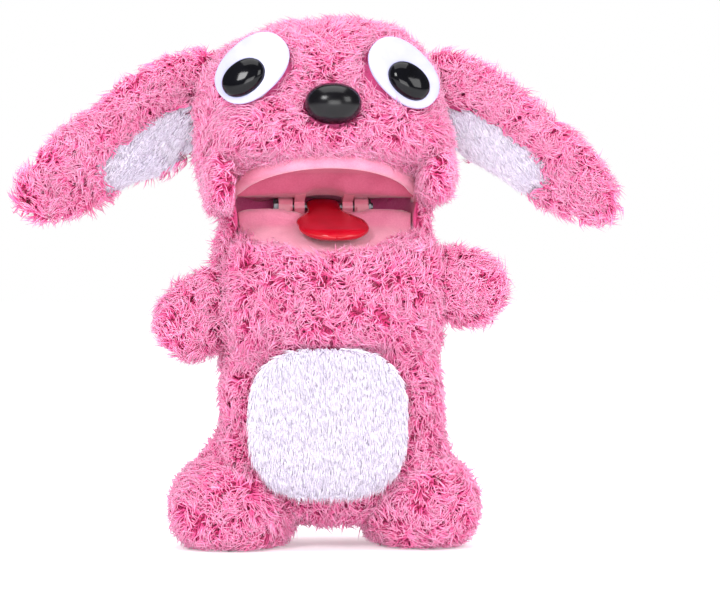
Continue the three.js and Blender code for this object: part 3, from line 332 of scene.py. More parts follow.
class Form:
    """A stuffed form in its own turned frame: |x/a|^m + |y/b|^m to the n/m, plus |z/c|^n, is 1 on it."""

    def __init__(self, centre, half, power=2.8, turned=None, profile=None):
        self.centre = np.array(centre, float)
        self.half = np.array(half, float)
        self.power = power
        self.profile = profile or power
        self.turned = np.eye(3) if turned is None else turned

    def gauge(self, points, inset=0.0):
        """1 on the surface taken in by inset, below 1 inside it."""
        q = np.abs((points - self.centre) @ self.turned) / (self.half - inset)
        flat = (q[..., 0] ** self.power + q[..., 1] ** self.power) ** (self.profile / self.power)
        return (flat + q[..., 2] ** self.profile) ** (1 / self.profile)

    def surface(self, directions, inset=0.0):
        """Each unit direction scaled by the half sizes, then divided by its gauge."""
        out = directions * (self.half - inset)
        world = out @ self.turned.T + self.centre
        return self.centre + (world - self.centre) / self.gauge(world, inset)[:, None]


def gathered_gauge(points, forms, planes, inset):
    """Smooth union of the forms' gauges, as the sum of their -14th powers, cut by planes.

    A plane is a point, an outward normal and how far the cut is taken in."""
    total = sum(np.maximum(f.gauge(points, inset), 1e-3) ** -14.0 for f in forms) ** (-1 / 14.0)
    for spot, normal, take in planes:
        total = np.maximum(total, 1 + ((points - np.array(spot)) @ np.array(normal) + take) / 40.0)
    return total


def gathered_skin(centre, spread, forms, planes, inset, around, up, swell=None):
    """A closed skin: on each direction from the centre, the gathered gauge reaches 1 there, found by halving.

    swell moves each point along its direction by a number of millimetres worked out from its place."""
    directions, faces = ball_grid(around, up)
    directions = unit(directions * np.array(spread, float))
    low = np.zeros(len(directions))
    high = np.full(len(directions), 160.0)
    for _ in range(34):
        middle = (low + high) / 2
        inside = gathered_gauge(centre + directions * middle[:, None], forms, planes, inset) < 1
        low = np.where(inside, middle, low)
        high = np.where(inside, high, middle)
    points = centre + directions * low[:, None]
    if swell is not None:
        points = points + directions * swell(points)[:, None]
    return points, faces


def point_normals(points, faces):
    """Area-weighted mean of the triangles' normals at each point."""
    a, b, c = (points[faces[:, k]] for k in range(3))
    across = np.cross(b - a, c - a)
    total = np.zeros_like(points)
    for k in range(3):
        for axis in range(3):
            total[:, axis] += np.bincount(faces[:, k], across[:, axis], len(points))
    return unit(total)


def waves(points, wavelength, seed, count=9):
    """Smooth noise of three channels: a sum of sine waves in random directions, of about this wavelength."""
    source = np.random.default_rng(seed)
    total = np.zeros(points.shape)
    for axis in range(3):
        heading = unit(source.normal(size=(count, 3))) * (2 * np.pi / wavelength)
        heading = heading * source.uniform(0.6, 1.6, (count, 1))
        phase = source.uniform(0, 2 * np.pi, count)
        total[:, axis] = np.sin(points @ heading.T + phase).sum(1) / math.sqrt(count)
    return total


# ---- pile --------------------------------------------------------------------------------------

def roots_on(points, faces, count, thick):
    """count roots spread over triangles: area times thick sets how many, and each has its skin's normal."""
    normals = point_normals(points, faces)
    a, b, c = (points[faces[:, k]] for k in range(3))
    area = np.linalg.norm(np.cross(b - a, c - a), axis=1) / 2 * np.maximum(thick((a + b + c) / 3), 0)
    share = np.cumsum(area)
    pick = np.searchsorted(share, (np.arange(count) + rng.uniform(0, 1, count)) / count * share[-1])
    pick = np.minimum(pick, len(faces) - 1)
    u, v = rng.uniform(0, 1, (2, count))
    over = u + v > 1
    u, v = np.where(over, 1 - u, u)[:, None], np.where(over, 1 - v, v)[:, None]
    where = a[pick] * (1 - u - v) + b[pick] * u + c[pick] * v
    facing = unit(sum(normals[faces[pick, k]] * w for k, w in ((0, 1 - u - v), (1, u), (2, v))))
    return where, facing


def hairs(roots, facing, comb, length, width, strands, curl, lean, rings=3, spread=0.9, tuft=0.34,
          gather=0.5):
    """Tufts of tapering three-sided hairs.

    A hair's middle line rises from its root along the skin's normal, hooks over along the comb by the 1.9th
    power of the way along it, and waves sideways by a sine. Hairs of one tuft share their direction but for
    tuft, and come together towards the tip by gather."""
    tufts = len(roots)
    tangent = unit(comb - (comb * facing).sum(1, keepdims=True) * facing)
    many = lambda values: np.repeat(values, strands, axis=0)
    n, t = many(facing), many(tangent)
    count = tufts * strands
    side = np.cross(n, t)
    jitter = rng.normal(size=(count, 2)) * spread
    offset = t * jitter[:, :1] + side * jitter[:, 1:]
    start = many(roots) + offset
    t = unit(t + side * rng.normal(size=(count, 1)) * tuft + n * rng.normal(size=(count, 1)) * 0.12)
    side = unit(np.cross(n, t))
    size = (many(rng.uniform(0.82, 1.12, tufts)) * rng.uniform(0.84, 1.08, count) * length)[:, None]
    tilt = (lean * many(rng.uniform(0.6, 1.3, tufts)) * rng.uniform(0.85, 1.15, count))[:, None]
    phase = (many(rng.uniform(0, 2 * np.pi, tufts)) + rng.normal(size=count) * 0.5)[:, None]
    beat = many(rng.uniform(2.4, 5.2, tufts))[:, None]
    along = np.linspace(0, 1, rings + 1)

    def middle(s):
        rise = s - 0.42 * np.minimum(tilt, 1.6) * s * s
        wave = np.sin(phase + beat * s) - np.sin(phase)
        nod = np.cos(phase + beat * s) - np.cos(phase)
        return start - offset * (gather * s) + size * (
            n * rise + t * (tilt * s ** 1.9) + side * (curl * wave) + t * (curl * 0.6 * nod)
        )

    line = [middle(s) for s in along]
    wide = width * rng.uniform(0.7, 1.3, (count, 1))
    blocks = []
    for k in range(rings):
        ahead = unit(line[k + 1] - line[max(k - 1, 0)])
        across = unit(np.cross(ahead, side + 0.3 * n))
        above = np.cross(ahead, across)
        radius = wide * (0.5 - 0.32 * along[k] ** 1.3)
        for corner in range(3):
            angle = corner * 2 * np.pi / 3
            blocks.append(line[k] + radius * (across * math.cos(angle) + above * math.sin(angle)))
    blocks.append(line[rings])
    points = np.stack(blocks, 1)
    return points, along


def tuft_faces(count, rings):
    """The triangles of count hairs: a closed base, six triangles between rings, and a point."""
    one = [(0, 2, 1)]
    for k in range(rings - 1):
        for j in range(3):
            a, b = 3 * k + j, 3 * k + (j + 1) % 3
            one += [(a, b, b + 3), (a, b + 3, a + 3)]
    tip = 3 * rings
    one += [(3 * (rings - 1) + j, 3 * (rings - 1) + (j + 1) % 3, tip) for j in range(3)]
    each = np.array(one)
    return (each[None] + (np.arange(count) * (tip + 1))[:, None, None]).reshape(-1, 3)


# Most triangles in one mesh of hairs, and how many hairs are in a tuft.
FUR_LIMIT = 190000
STRANDS = 5


def fur_pieces(name, points, along, rings, tone, finish, keep=None, ground=None):
    """Drops the hairs that keep rejects, holds the rest above ground, and makes meshes under FUR_LIMIT."""
    if keep is not None:
        kept = keep(points)
        points, tone = points[kept], tone[kept]
    if ground is not None:
        points[..., 2] = np.maximum(points[..., 2], ground)
    per = 1 + 6 * (rings - 1) + 3
    parts = max(1, math.ceil(len(points) * per / FUR_LIMIT))
    made = []
    for i in range(parts):
        some = points[i * len(points) // parts:(i + 1) * len(points) // parts]
        shade = tone[i * len(points) // parts:(i + 1) * len(points) // parts]
        count = len(some)
        v = np.concatenate((np.repeat(along[:-1], 3), along[-1:]))
        u = shade[:, None] + 0.015 * (np.arange(3 * rings + 1) % 3 - 1)[None]
        uv = np.stack((np.clip(u, 0.002, 0.998), np.broadcast_to(v * 0.99 + 0.005, u.shape)), -1)
        title = name if parts == 1 else f"{name}_{i + 1}"
        made.append(piece(title, some.reshape(-1, 3), tuft_faces(count, rings), finish, uv.reshape(-1, 2)))
    return made


def tones(roots, strands, seed, wavelength=16.0):
    """Each hair's tone from 0 to 1: a slow wave over the skin, plus a tuft's own and a hair's own chance."""
    slow = waves(roots, wavelength, seed)[:, 0] * 0.16
    tuft = np.repeat(0.55 + slow + rng.normal(size=len(roots)) * 0.16, strands)
    return np.clip(tuft + rng.normal(size=len(tuft)) * 0.08, 0.02, 0.98)


def for_hairs(blocked):
    """A test of whole hairs from one of single points: a hair is kept where none of its points is blocked."""
    return lambda hair: ~blocked(hair.reshape(-1, 3)).reshape(hair.shape[:2]).any(1)


# ---- forms of the puppet, the outer envelope of the pressed pile ---------------------------------

SKULL = Form((-2.2, 6, 157.5), (49, 38, 44), 2.7, turn("y", -7.5))
MUZZLE = Form((0, -8, 150), (47, 31, 27), 2.6)
CHEST = Form((1.2, 1, 94), (44.5, 34, 38), 2.8)
BELLY = Form((1.8, 1, 50), (43.5, 33, 44), 2.8)
HIPS = [Form((sign * 29.8, -2, 27), (20.5, 25, 20.5), 2.1) for sign in (-1, 1)]
UPPER_FRAME = turn("x", -UPPER_LIFT)
LOWER_FRAME = turn("x", LOWER_DIP)
UPPER_DOWN = (0.0, -math.sin(math.radians(UPPER_LIFT)), -math.cos(math.radians(UPPER_LIFT)))
LOWER_UP = (0.0, -math.sin(math.radians(LOWER_DIP)), math.cos(math.radians(LOWER_DIP)))
NECK_DOWN = (0.0, math.sin(NECK_UPPER), -math.cos(NECK_UPPER))
NECK_UP = (0.0, math.sin(NECK_LOWER), math.cos(NECK_LOWER))


def in_jaw(points, jaw):
    """Points in a jaw's own frame, measured from the hinge."""
    return (points - HINGE) @ jaw


def eye_frame(side):
    """Centre and axes of an eye: across, above and out of the face."""
    o, u = SIDES[side] * EYE_OUTWARD, EYE_UPWARD
    out = np.array((math.sin(o) * math.cos(u), -math.cos(o) * math.cos(u), math.sin(u)))
    across = unit(np.cross((0, 0, 1.0), out))
    return np.array(EYE_SPOT[side]), np.stack((across, np.cross(out, across), out), 1)


EYES = {side: eye_frame(side) for side in SIDES}


def eye_plate(side):
    """The eye white as a form: an oval plate on a slant."""
    centre, axes = EYES[side]
    return Form(centre, (15.5, 11.25, 1.7), 2.25, axes @ turn("z", -SIDES[side] * 45), 3.0)


def flat_backed(form, directions, back):
    """A form's surface, with what lies behind its middle plane pressed to this share of its depth."""
    local = (form.surface(directions) - form.centre) @ form.turned
    local[:, 2] = np.where(local[:, 2] < 0, local[:, 2] * back, local[:, 2])
    return local @ form.turned.T + form.centre


NOSE = Form((-0.4, -36.8, 165.7), (10.4, 8.3, 7.6), 2.15)


def limb_frame(spot, droop, side, roll=0.0):
    """Where a limb's own frame sits: its X reaches outwards along the side, drooping."""
    return np.array(spot), turn("y", SIDES[side] * droop) @ turn("x", roll)


def lobes(centre, axes, sign, length, width, thickness, root, power):
    """A limb's paddle and its round root, as forms."""
    back = root * 0.7
    middle = centre + axes @ np.array((sign * (length - back) / 2, 0, 0))
    return [
        Form(middle, ((length + back) / 2, thickness / 2, width / 2), power, axes),
        Form(centre, (root, thickness / 2, root), 2.2, axes),
    ]


EARS, ARMS, FEET = {}, {}, {}
EAR_REACH = {"left": 85.5, "right": 84.0}
EAR_POWER = {"left": 2.5, "right": 2.3}
EAR_WIDE = {"left": 35.5, "right": 33}
EAR_BROAD = {"left": (22.0, -2.2), "right": (18.5, -1.0)}
FOOT_SPOT = {"left": (-35.4, -4, 15.5), "right": (34.2, -4, 16.5)}
FOOT_HALF = {"left": (25.0, 30, 21.5), "right": (23.6, 30, 21.0)}
for side, sign in SIDES.items():
    spot, axes = limb_frame(EAR_SPOT[side], EAR_DROOP[side], side, EAR_ROLL)
    broad, low = EAR_BROAD[side]
    ear_forms = lobes(spot, axes, sign, EAR_REACH[side], EAR_WIDE[side], 15, 15, EAR_POWER[side])
    ear_forms.append(Form(spot + axes @ np.array((sign * 19, 0, low)), (31, 7.5, broad), 2.3, axes))
    EARS[side] = (spot, axes, ear_forms)
    spot, axes = limb_frame(ARM_SPOT[side], ARM_DROOP[side], side)
    ARMS[side] = (spot, axes, lobes(spot, axes, sign, 28, ARM_BROAD[side], 24, 12.5, 2.3))
    FEET[side] = Form(FOOT_SPOT[side], FOOT_HALF[side], 2.3, turn("z", sign * 12))

PILE = 5.5

# The tummy patch, and the outline of its opening, carried straight through the puppet.
TUMMY_X, TUMMY_Z = -1.8, 48.4
TUMMY_OVAL = Form((TUMMY_X, 0, TUMMY_Z), (28.0, 26.0, 60), 2.9, turn("x", 90))


# ---- head --------------------------------------------------------------------------------------

def stuffed(seed, wavelength=30.0, height=1.0):
    """Slow bulges and hollows of loose filling."""
    return lambda points: waves(points, wavelength, seed)[:, 0] * height


# How far the furred skins stop short of the planes of the open mouth and of the neck.
UPPER_CUT, LOWER_CUT, NAPE_CUT = 6.2, 6.4, 2.0

head_planes = [(HINGE, UPPER_DOWN, UPPER_CUT), (HINGE, NECK_DOWN, 1.5)]
head_points, head_faces = gathered_skin(
    np.array((0, 4, 162.0)), (50, 38, 40), [SKULL, MUZZLE], head_planes, PILE, 96, 64, stuffed(3)
)
head_skin = piece("head_skin", head_points, head_faces, pink_backing)
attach(head_skin, "head")
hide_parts("head_pelt", "head_stuffing")


def on_plane(points, planes, near=2.5):
    """True where a point lies on one of the cutting planes."""
    lies = np.zeros(len(points), bool)
    for spot, normal, take in planes:
        lies |= ((points - np.array(spot)) @ np.array(normal) + take) > -near
    return lies


def head_thickness(points):
    """Pile is closest on the face, thinner behind, and there is none on the underside within the lips."""
    front = np.clip((8 - points[:, 1]) / 20, 0, 1)
    dense = 0.5 + 0.5 * front
    jaw = in_jaw(points, UPPER_FRAME)
    lips = (np.abs(jaw[:, 0]) / 38) ** 2 + (jaw[:, 1] / 47) ** 2 < 1
    return np.where(on_plane(points, head_planes, 1.0) & lips, 0.0, dense)


def face_comb(points, facing):
    """Hair lies outwards from the nose bridge, in a slow swirl and a quick tousle, and down at the lip."""
    away = points - np.array((0, -30, 172.0))
    rim = np.exp(-(((points - HINGE) @ np.array(UPPER_DOWN) + UPPER_CUT) / 7.0) ** 2)[:, None]
    tousle = waves(points, 26, 11) * 0.8 + waves(points, 8, 12) * 0.9
    return unit(away) * 0.5 + tousle * (1 - 0.55 * rim) + np.array(UPPER_DOWN) * 1.6 * rim


@for_hairs
def clear_of_face(flat):
    """Blocks hairs that would cross an eye plate, the nose, the open mouth or the ear roots."""
    bad = NOSE.gauge(flat) < 1.02
    for side in SIDES:
        centre, axes = EYES[side]
        local = (flat - centre) @ axes
        lower_inner = (local[:, 1] < -1) & (local[:, 0] * SIDES[side] < 6)
        oval = Form((0, 0, 0), (15.5, 11.25, 40), 2.25, turn("z", -SIDES[side] * 45))
        inside = oval.gauge(local * np.array((1, 1, 0.0)))
        bad |= (inside < np.where(lower_inner, 0.8, 0.93)) & (local[:, 2] > -2.5)
        bad |= (inside < 0.9) & (local[:, 2] > -9)
        spot, ear_axes, forms = EARS[side]
        bad |= forms[0].gauge(flat, 3.0) < 1
    jaw = in_jaw(flat, UPPER_FRAME)
    right_side = np.where(jaw[:, 0] > 0, 33.0, 36.0)
    within = (np.abs(jaw[:, 0]) / right_side) ** 2 + (np.clip(-jaw[:, 1] - 2, 0, None) / 44) ** 2 < 1
    bad |= within & (jaw[:, 2] < 4.5)
    bad |= (jaw[:, 2] < -1.5) & (jaw[:, 1] < -12) & (np.abs(jaw[:, 0]) < 38)
    return bad


def furred(name, skin, faces, thick, comb, tufts, body, keep=None, ground=None,
           finish=pink_pile, length=7.0, width=0.72, curl=0.3, lean=0.68, rings=3, seed=5, spread=1.0,
           gather=0.8, tuft=0.3):
    """Pile on a skin: tufts rooted on its triangles, combed, filtered and riding on the body, if any."""
    roots, facing = roots_on(skin, faces, tufts, thick)
    points, along = hairs(roots, facing, comb(roots, facing), length, width, STRANDS, curl, lean, rings,
                          spread, tuft, gather)
    made = fur_pieces(name, points, along, rings, tones(roots, STRANDS, seed), finish, keep, ground)
    for one in made:
        if body:
            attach(one, body)
    return made


furred("head_fur", head_points, head_faces, head_thickness, face_comb, 5800, "head",
       clear_of_face)


# Jowls: a stuffed fold of the head on each side of the mouth, hanging below its corners.
for side, sign in SIDES.items():
    jowl = Form((sign * 40.4, -5, 141 + sign), (8.2, 26, 13.5 - sign), 2.4)
    directions, faces = ball_grid(36, 24)
    points = jowl.surface(directions, 5.0)
    fold = piece(f"jowl_skin_{side}", points, faces, pink_backing)
    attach(fold, "head")

    def jowl_thickness(where, sign=sign):
        inner = where[:, 0] * sign < 40.2
        return np.where(SKULL.gauge(where, PILE + 1) < 1, 0.1, np.where(inner, 0.8, 1.0))

    @for_hairs
    def clear_of_lips(flat):
        jaw = in_jaw(flat, UPPER_FRAME)
        return (np.abs(jaw[:, 0]) < np.where(jaw[:, 0] > 0, 30.5, 35.5)) & (jaw[:, 2] < 5)

    furred(f"jowl_fur_{side}", points, faces, jowl_thickness,
           lambda where, facing: waves(where, 18, 15) * 0.6 + waves(where, 8, 16) * 0.8
           + np.array((0, -0.3, -1.3)),
           760, "head", clear_of_lips, seed=17, length=6.2)


# ---- body --------------------------------------------------------------------------------------

body_planes = [(HINGE, LOWER_UP, LOWER_CUT), (HINGE, NECK_UP, NAPE_CUT)]


def body_swell(points):
    """Bulges of filling, with the chest overhanging the tummy opening, and a seat under the patch."""
    front = np.clip(-points[:, 1] / 25, 0, 1)
    fold = np.exp(-((points[:, 2] - 74) / 5) ** 2) * np.clip(1 - np.abs(points[:, 0]) / 46, 0, 1)
    hollow = np.clip((1.2 - TUMMY_OVAL.gauge(points)) / 0.2, 0, 1) * (points[:, 1] < 0)
    return waves(points, 34, 21)[:, 0] * 1.0 - fold * front * 3.0 - 3.2 * hollow


body_points, body_faces = gathered_skin(
    np.array((0, 2, 72.0)), (44, 33, 62), [CHEST, BELLY, *HIPS], body_planes, PILE, 96, 80, body_swell
)
body_skin = piece("body_skin", body_points, body_faces, pink_backing)
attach(body_skin, "torso")
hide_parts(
    "body_front_pelt", "body_back_pelt", "seat_stuffing", "body_stuffing_left",
    "body_stuffing_right",
)


def body_thickness(points):
    """Pile is closest on the front, thinner behind and underneath, and there is none within the lips."""
    front = np.clip((8 - points[:, 1]) / 20, 0, 1)
    bottom = np.clip((points[:, 2] - 8) / 8, 0.15, 1)
    jaw = in_jaw(points, LOWER_FRAME)
    lips = (np.abs(jaw[:, 0]) / 31) ** 2 + (jaw[:, 1] / 42) ** 2 < 1
    return np.where(on_plane(points, body_planes, 1.0) & lips, 0.0, (0.5 + 0.5 * front) * bottom)


def body_comb(points, facing):
    """Hair hangs down, tousled, and stands up at the lip and at the nape."""
    rim = np.exp(-(((points - HINGE) @ np.array(LOWER_UP) + LOWER_CUT) / 7.0) ** 2)[:, None]
    nape = np.exp(-(((points - HINGE) @ np.array(NECK_UP) + NAPE_CUT) / 8.0) ** 2)[:, None]
    tousle = waves(points, 24, 22) * 0.8 + waves(points, 8, 23) * 0.9
    return (
        tousle * (1 - 0.5 * rim) + np.array((0, 0, -0.5)) * (1 - rim) + np.array(LOWER_UP) * 1.3 * rim
        + np.array((0, 0, 1.6)) * nape
    )


PATCH = Form((TUMMY_X, -31, TUMMY_Z), (28.4, 26.4, 3.6), 2.9, turn("x", 90), 2.3)


@for_hairs
def clear_of_tummy(flat):
    """Blocks hairs that would cross the tummy patch, the mouth or the limbs."""
    bad = (TUMMY_OVAL.gauge(flat) < 1) & (flat[:, 1] < -16)
    jaw = in_jaw(flat, LOWER_FRAME)
    within = (np.abs(jaw[:, 0]) / 32) ** 2 + (np.clip(-jaw[:, 1] - 5, 0, None) / 39) ** 2 < 1
    bad |= within & (jaw[:, 2] > -5.5)
    bad |= (jaw[:, 2] > 2.5) & (jaw[:, 1] < -6) & (np.abs(jaw[:, 0]) < 40)
    for side in SIDES:
        bad |= ARMS[side][2][0].gauge(flat, 4.0) < 1
        bad |= FEET[side].gauge(flat, 5.0) < 1
    return bad


furred("body_fur", body_points, body_faces, body_thickness, body_comb, 5900, "torso",
       clear_of_tummy, 0.4, seed=6)


# ---- feet, arms and ears -----------------------------------------------------------------------

def limb_comb(axes, sign, seed):
    """Hair lies out along the limb towards its end, tousled."""
    reach = axes @ np.array((sign, 0, 0.0))
    return lambda points, facing: (
        waves(points, 20, seed) * 0.8 + waves(points, 7, seed + 1) * 0.9 + reach * 0.5
    )


for side, sign in SIDES.items():
    foot = FEET[side]
    directions, faces = ball_grid(56, 36)
    points = foot.surface(directions, PILE)
    points[:, 2] = np.maximum(points[:, 2], 1.2)
    skin = piece(f"foot_skin_{side}", points, faces, pink_backing)
    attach(skin, "torso")
    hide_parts(f"foot_{side}")

    def foot_thickness(where, sign=sign):
        inside = (BELLY.gauge(where, PILE + 2) < 1) | (HIPS[(sign + 1) // 2].gauge(where, PILE + 1) < 1)
        under = where[:, 2] < 1.6
        return np.where(inside, 0.0, np.where(under, 0.08, 1.0))

    def foot_comb(where, facing, sign=sign):
        return waves(where, 18, 41) * 0.8 + waves(where, 7, 42) * 0.9 + np.array((sign * 0.35, -0.2, -0.35))

    @for_hairs
    def clear_of_patch(flat):
        return (TUMMY_OVAL.gauge(flat) < 1) & (flat[:, 1] < -12)

    furred(f"foot_fur_{side}", points, faces, foot_thickness, foot_comb, 1350, "torso",
           clear_of_patch, 0.4, seed=43)

    spot, axes, forms = ARMS[side]
    points, faces = gathered_skin(
        spot + axes @ np.array((sign * 8, 0, 0)), (1, 1, 1), forms, [], 5.0, 40, 28
    )
    skin = piece(f"arm_skin_{side}", points, faces, pink_backing)
    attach(skin, f"arm_{side}_body")
    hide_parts(f"arm_{side}")
    furred(f"arm_fur_{side}", points, faces,
           lambda where: np.where(CHEST.gauge(where, PILE + 3) < 1, 0.0, 1.0),
           limb_comb(axes, sign, 51), 760, f"arm_{side}_body", seed=52, length=6.8)

    spot, axes, forms = EARS[side]
    middle = spot + axes @ np.array((sign * 36, 0, 0))
    points, faces = gathered_skin(
        middle, (1, 1, 1), forms, [], 4.0, 64, 72, stuffed(61, 24, 0.5)
    )
    skin = piece(f"ear_skin_{side}", points, faces, pink_backing)
    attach(skin, f"ear_{side}_body")
    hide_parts(f"ear_{side}")

    def in_lining(where, spot=spot, axes=axes, sign=sign):
        """How far inside the ear's white patch a place is: below 1 inside its outline, on the front face."""
        local = (where - spot) @ axes
        q = np.abs(local[:, [0, 2]] - np.array((sign * 27, -8.2))) / np.array((25, 10.0))
        return np.where(local[:, 1] < 1.0, (q ** 2.6).sum(1) ** (1 / 2.6), 9.0)

    def ear_thickness(where, lined=in_lining):
        inside = SKULL.gauge(where, PILE + 4) < 1
        front = np.clip((12 - where[:, 1]) / 10, 0.55, 1)
        return np.where(inside | (lined(where) < 1.0), 0.0, front)

    def clear_of_lining(hair, lined=in_lining):
        return (lined(hair[:, -1]) > 0.97) & (lined(hair[:, 4]) > 0.97)

    furred(f"ear_fur_{side}", points, faces, ear_thickness, limb_comb(axes, sign, 62), 1880,
           f"ear_{side}_body", clear_of_lining, seed=64, length=6.8)

    # The white lining: the skin inside the outline, raised, and closed by a sunk copy and a wall.
    lining_faces = faces[(in_lining(points) < 1.12)[faces].all(1)]
    normals = point_normals(points, faces)
    lining_points = points + normals * 1.2
    used, renumbered = np.unique(lining_faces, return_inverse=True)
    top, under = lining_points[used], (points - normals * 0.4)[used]
    tri = renumbered.reshape(-1, 3)
    edges = np.vstack((tri[:, [0, 1]], tri[:, [1, 2]], tri[:, [2, 0]]))
    key = {tuple(e) for e in edges.tolist()}
    rim = np.array([e for e in edges.tolist() if (e[1], e[0]) not in key])
    wall = np.vstack((
        np.stack((rim[:, 0], rim[:, 0] + len(used), rim[:, 1] + len(used)), -1),
        np.stack((rim[:, 0], rim[:, 1] + len(used), rim[:, 1]), -1),
    ))
    closed = np.vstack((tri, tri[:, ::-1] + len(used), wall))
    lining = piece(f"ear_lining_cloth_{side}", np.vstack((top, under)), closed, white_backing)
    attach(lining, f"ear_{side}_body")
    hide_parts(f"ear_lining_{side}")
    down = axes @ np.array((sign * 1.0, 0, -0.35))
    furred(f"ear_lining_nap_{side}", lining_points, lining_faces, lambda where: np.ones(len(where)),
           lambda where, facing, down=down: down + waves(where, 22, 66) * 0.08, 1000,
           f"ear_{side}_body", finish=white_pile, length=2.3, width=0.34, curl=0.0, lean=1.9,
           rings=2, seed=65, spread=0.7, gather=0, tuft=0.1)


# ---- tummy patch -------------------------------------------------------------------------------

directions, patch_faces = ball_grid(72, 40)
patch_points = PATCH.surface(directions)
patch_skin = piece("tummy_patch_cloth", patch_points, patch_faces, white_backing)
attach(patch_skin, "squeeze_lever_body")
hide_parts("tummy_patch")
furred("tummy_nap", patch_points, patch_faces, lambda where: np.where(where[:, 1] < -30.5, 1.0, 0.1),
       lambda where, facing: np.array((0, 0, -1.0)) + waves(where, 26, 71) * 0.07, 3700,
       "squeeze_lever_body", finish=white_pile, length=2.4, width=0.42, curl=0.0, lean=2.0,
       rings=2, seed=72, spread=0.8, gather=0, tuft=0.1)


# ---- eyes and nose -----------------------------------------------------------------------------

for side, sign in SIDES.items():
    directions, faces = ball_grid(72, 32)
    points = flat_backed(eye_plate(side), directions, 0.4)
    white = piece(f"eye_plate_{side}", points, faces, eye_white_gloss)
    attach(white, "head")
    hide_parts(f"eye_white_{side}")

    centre, axes = EYES[side]
    seat = centre + axes @ np.array(PUPIL_SHIFT[side])
    dome = Form(seat, (8.75, 6.5, 4.4), 2.1, axes @ turn("z", -sign * 38), 2.4)
    black = piece(f"pupil_dome_{side}", flat_backed(dome, directions, 0.15), faces, pupil_black)
    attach(black, "head")
    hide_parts(f"pupil_{side}")

directions, faces = ball_grid(72, 40)
nose_points = NOSE.surface(directions)
nose = piece("nose_button", nose_points, faces, nose_black)
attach(nose, "head")
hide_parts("nose")


# ---- mouth -------------------------------------------------------------------------------------

def placed(local, jaw):
    """Points of a jaw's own frame, put in the row frame."""
    return local @ jaw.T + HINGE


def tube(path, radius_in, radius_up, inward, upward, sides):
    """A closed roll along a path: an ellipse of two radii across inward and upward, with pointed ends."""
    angle = np.arange(sides) * 2 * np.pi / sides
    ring = (
        path[:, None] + inward[:, None] * (radius_in[:, None] * np.cos(angle))[..., None]
        + upward[:, None] * (radius_up[:, None] * np.sin(angle))[..., None]
    )
    rows = len(path)
    points = np.vstack((ring.reshape(-1, 3), path[:1], path[-1:]))
    return points, outward(points, ring_faces(rows, sides, 0, rows * sides, rows * sides + 1))


def outward(points, faces):
    """The same faces, turned over if the volume they close comes out negative."""
    a, b, c = (points[faces[:, k]] for k in range(3))
    volume = (np.cross(a, b) * c).sum()
    return faces if volume > 0 else faces[:, ::-1]


def jaw_path(half_width, start, reach, level, samples, past=0.12):
    """A half oval in a jaw's frame, carried a little past its straight back."""
    angle = np.linspace(-past, np.pi + past, samples)
    return np.stack((
        -half_width * np.cos(angle), -start - (reach - start) * np.sin(angle), np.full(samples, level)
    ), -1)


# Upper lip: a fat felt roll round the lifted jaw, broader at the corners of the mouth.
lip_path = jaw_path(36.0, 2.0, 45.6, 1.9, 90)
lip_inward = unit((np.array((0, -14.0, 0)) - lip_path) * np.array((1, 1, 0)))
share = np.sin(np.linspace(0, np.pi, 90)) ** 0.35
fat = 3.3 + 0.8 * (1 - np.sin(np.linspace(0, np.pi, 90)))
lip_points, lip_faces = tube(
    lip_path, fat * share, 3.7 * share, lip_inward, np.tile((0, 0, 1.0), (90, 1)), 24
)
lip = piece("upper_lip_roll", placed(lip_points, UPPER_FRAME), lip_faces, mouth_felt)
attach(lip, "head")
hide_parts("upper_mouth_lining")


def jaw_pad(half_width, start, reach, near, far, hollow, rows=26, around=84):
    """A felt pad over a jaw plate: a half oval, its face at near and hollowed in the middle, its back at far.

    A point's place is a share of the way from the pad's middle to its outline; the rim is rounded off."""
    angle = np.arange(around) * 2 * np.pi / around
    middle = np.array((0, -start - 0.4 * (reach - start)))
    heading = np.stack((np.cos(angle), np.sin(angle)), -1)
    low, high = np.zeros(around), np.full(around, 120.0)
    for _ in range(30):
        half = (low + high) / 2
        spot = middle + heading * half[:, None]
        aside = np.abs(spot[:, 0]) / half_width
        ahead = np.abs(np.minimum(spot[:, 1] + start, 0)) / (reach - start)
        inside = (aside ** 2.2 + ahead ** 2.2 < 1) & (spot[:, 1] < -start)
        low, high = np.where(inside, half, low), np.where(inside, high, half)
    share = np.sin(np.linspace(0.02, np.pi / 2, rows)) ** 0.9
    flat = middle + heading[None] * (low[None] * share[:, None])[..., None]
    round_off = np.sqrt(np.clip(1 - share ** 6, 0, 1))[:, None] * np.ones(around)
    level = (near + far) / 2 + (near - far) / 2 * round_off + hollow * (1 - share[:, None] ** 2)
    under = (near + far) / 2 - (near - far) / 2 * round_off
    top = np.concatenate((flat, level[..., None]), -1).reshape(-1, 3)
    base = np.concatenate((flat[:-1], under[:-1, :, None]), -1).reshape(-1, 3)
    points = np.vstack((top, base))
    r, c = np.meshgrid(np.arange(rows - 1), np.arange(around), indexing="ij")
    a, b = (r * around + c).ravel(), (r * around + (c + 1) % around).ravel()
    faces = [np.stack((a, b, b + around), -1), np.stack((a, b + around, a + around), -1)]
    shift = rows * around
    lower = lambda index: np.where(index >= (rows - 1) * around, index, index + shift)
    faces += [np.stack((lower(a), lower(b + around), lower(b)), -1),
              np.stack((lower(a), lower(a + around), lower(b + around)), -1)]
    ring_id = np.arange(around)
    after = (ring_id + 1) % around
    hub = len(points)
    points = np.vstack((points, (*middle, level[0, 0]), (*middle, under[0, 0])))
    faces.append(np.stack((np.full(around, hub), after, ring_id), -1))
    faces.append(np.stack((np.full(around, hub + 1), ring_id + shift, after + shift), -1))
    faces = np.vstack(faces)
    return points, outward(points, faces)


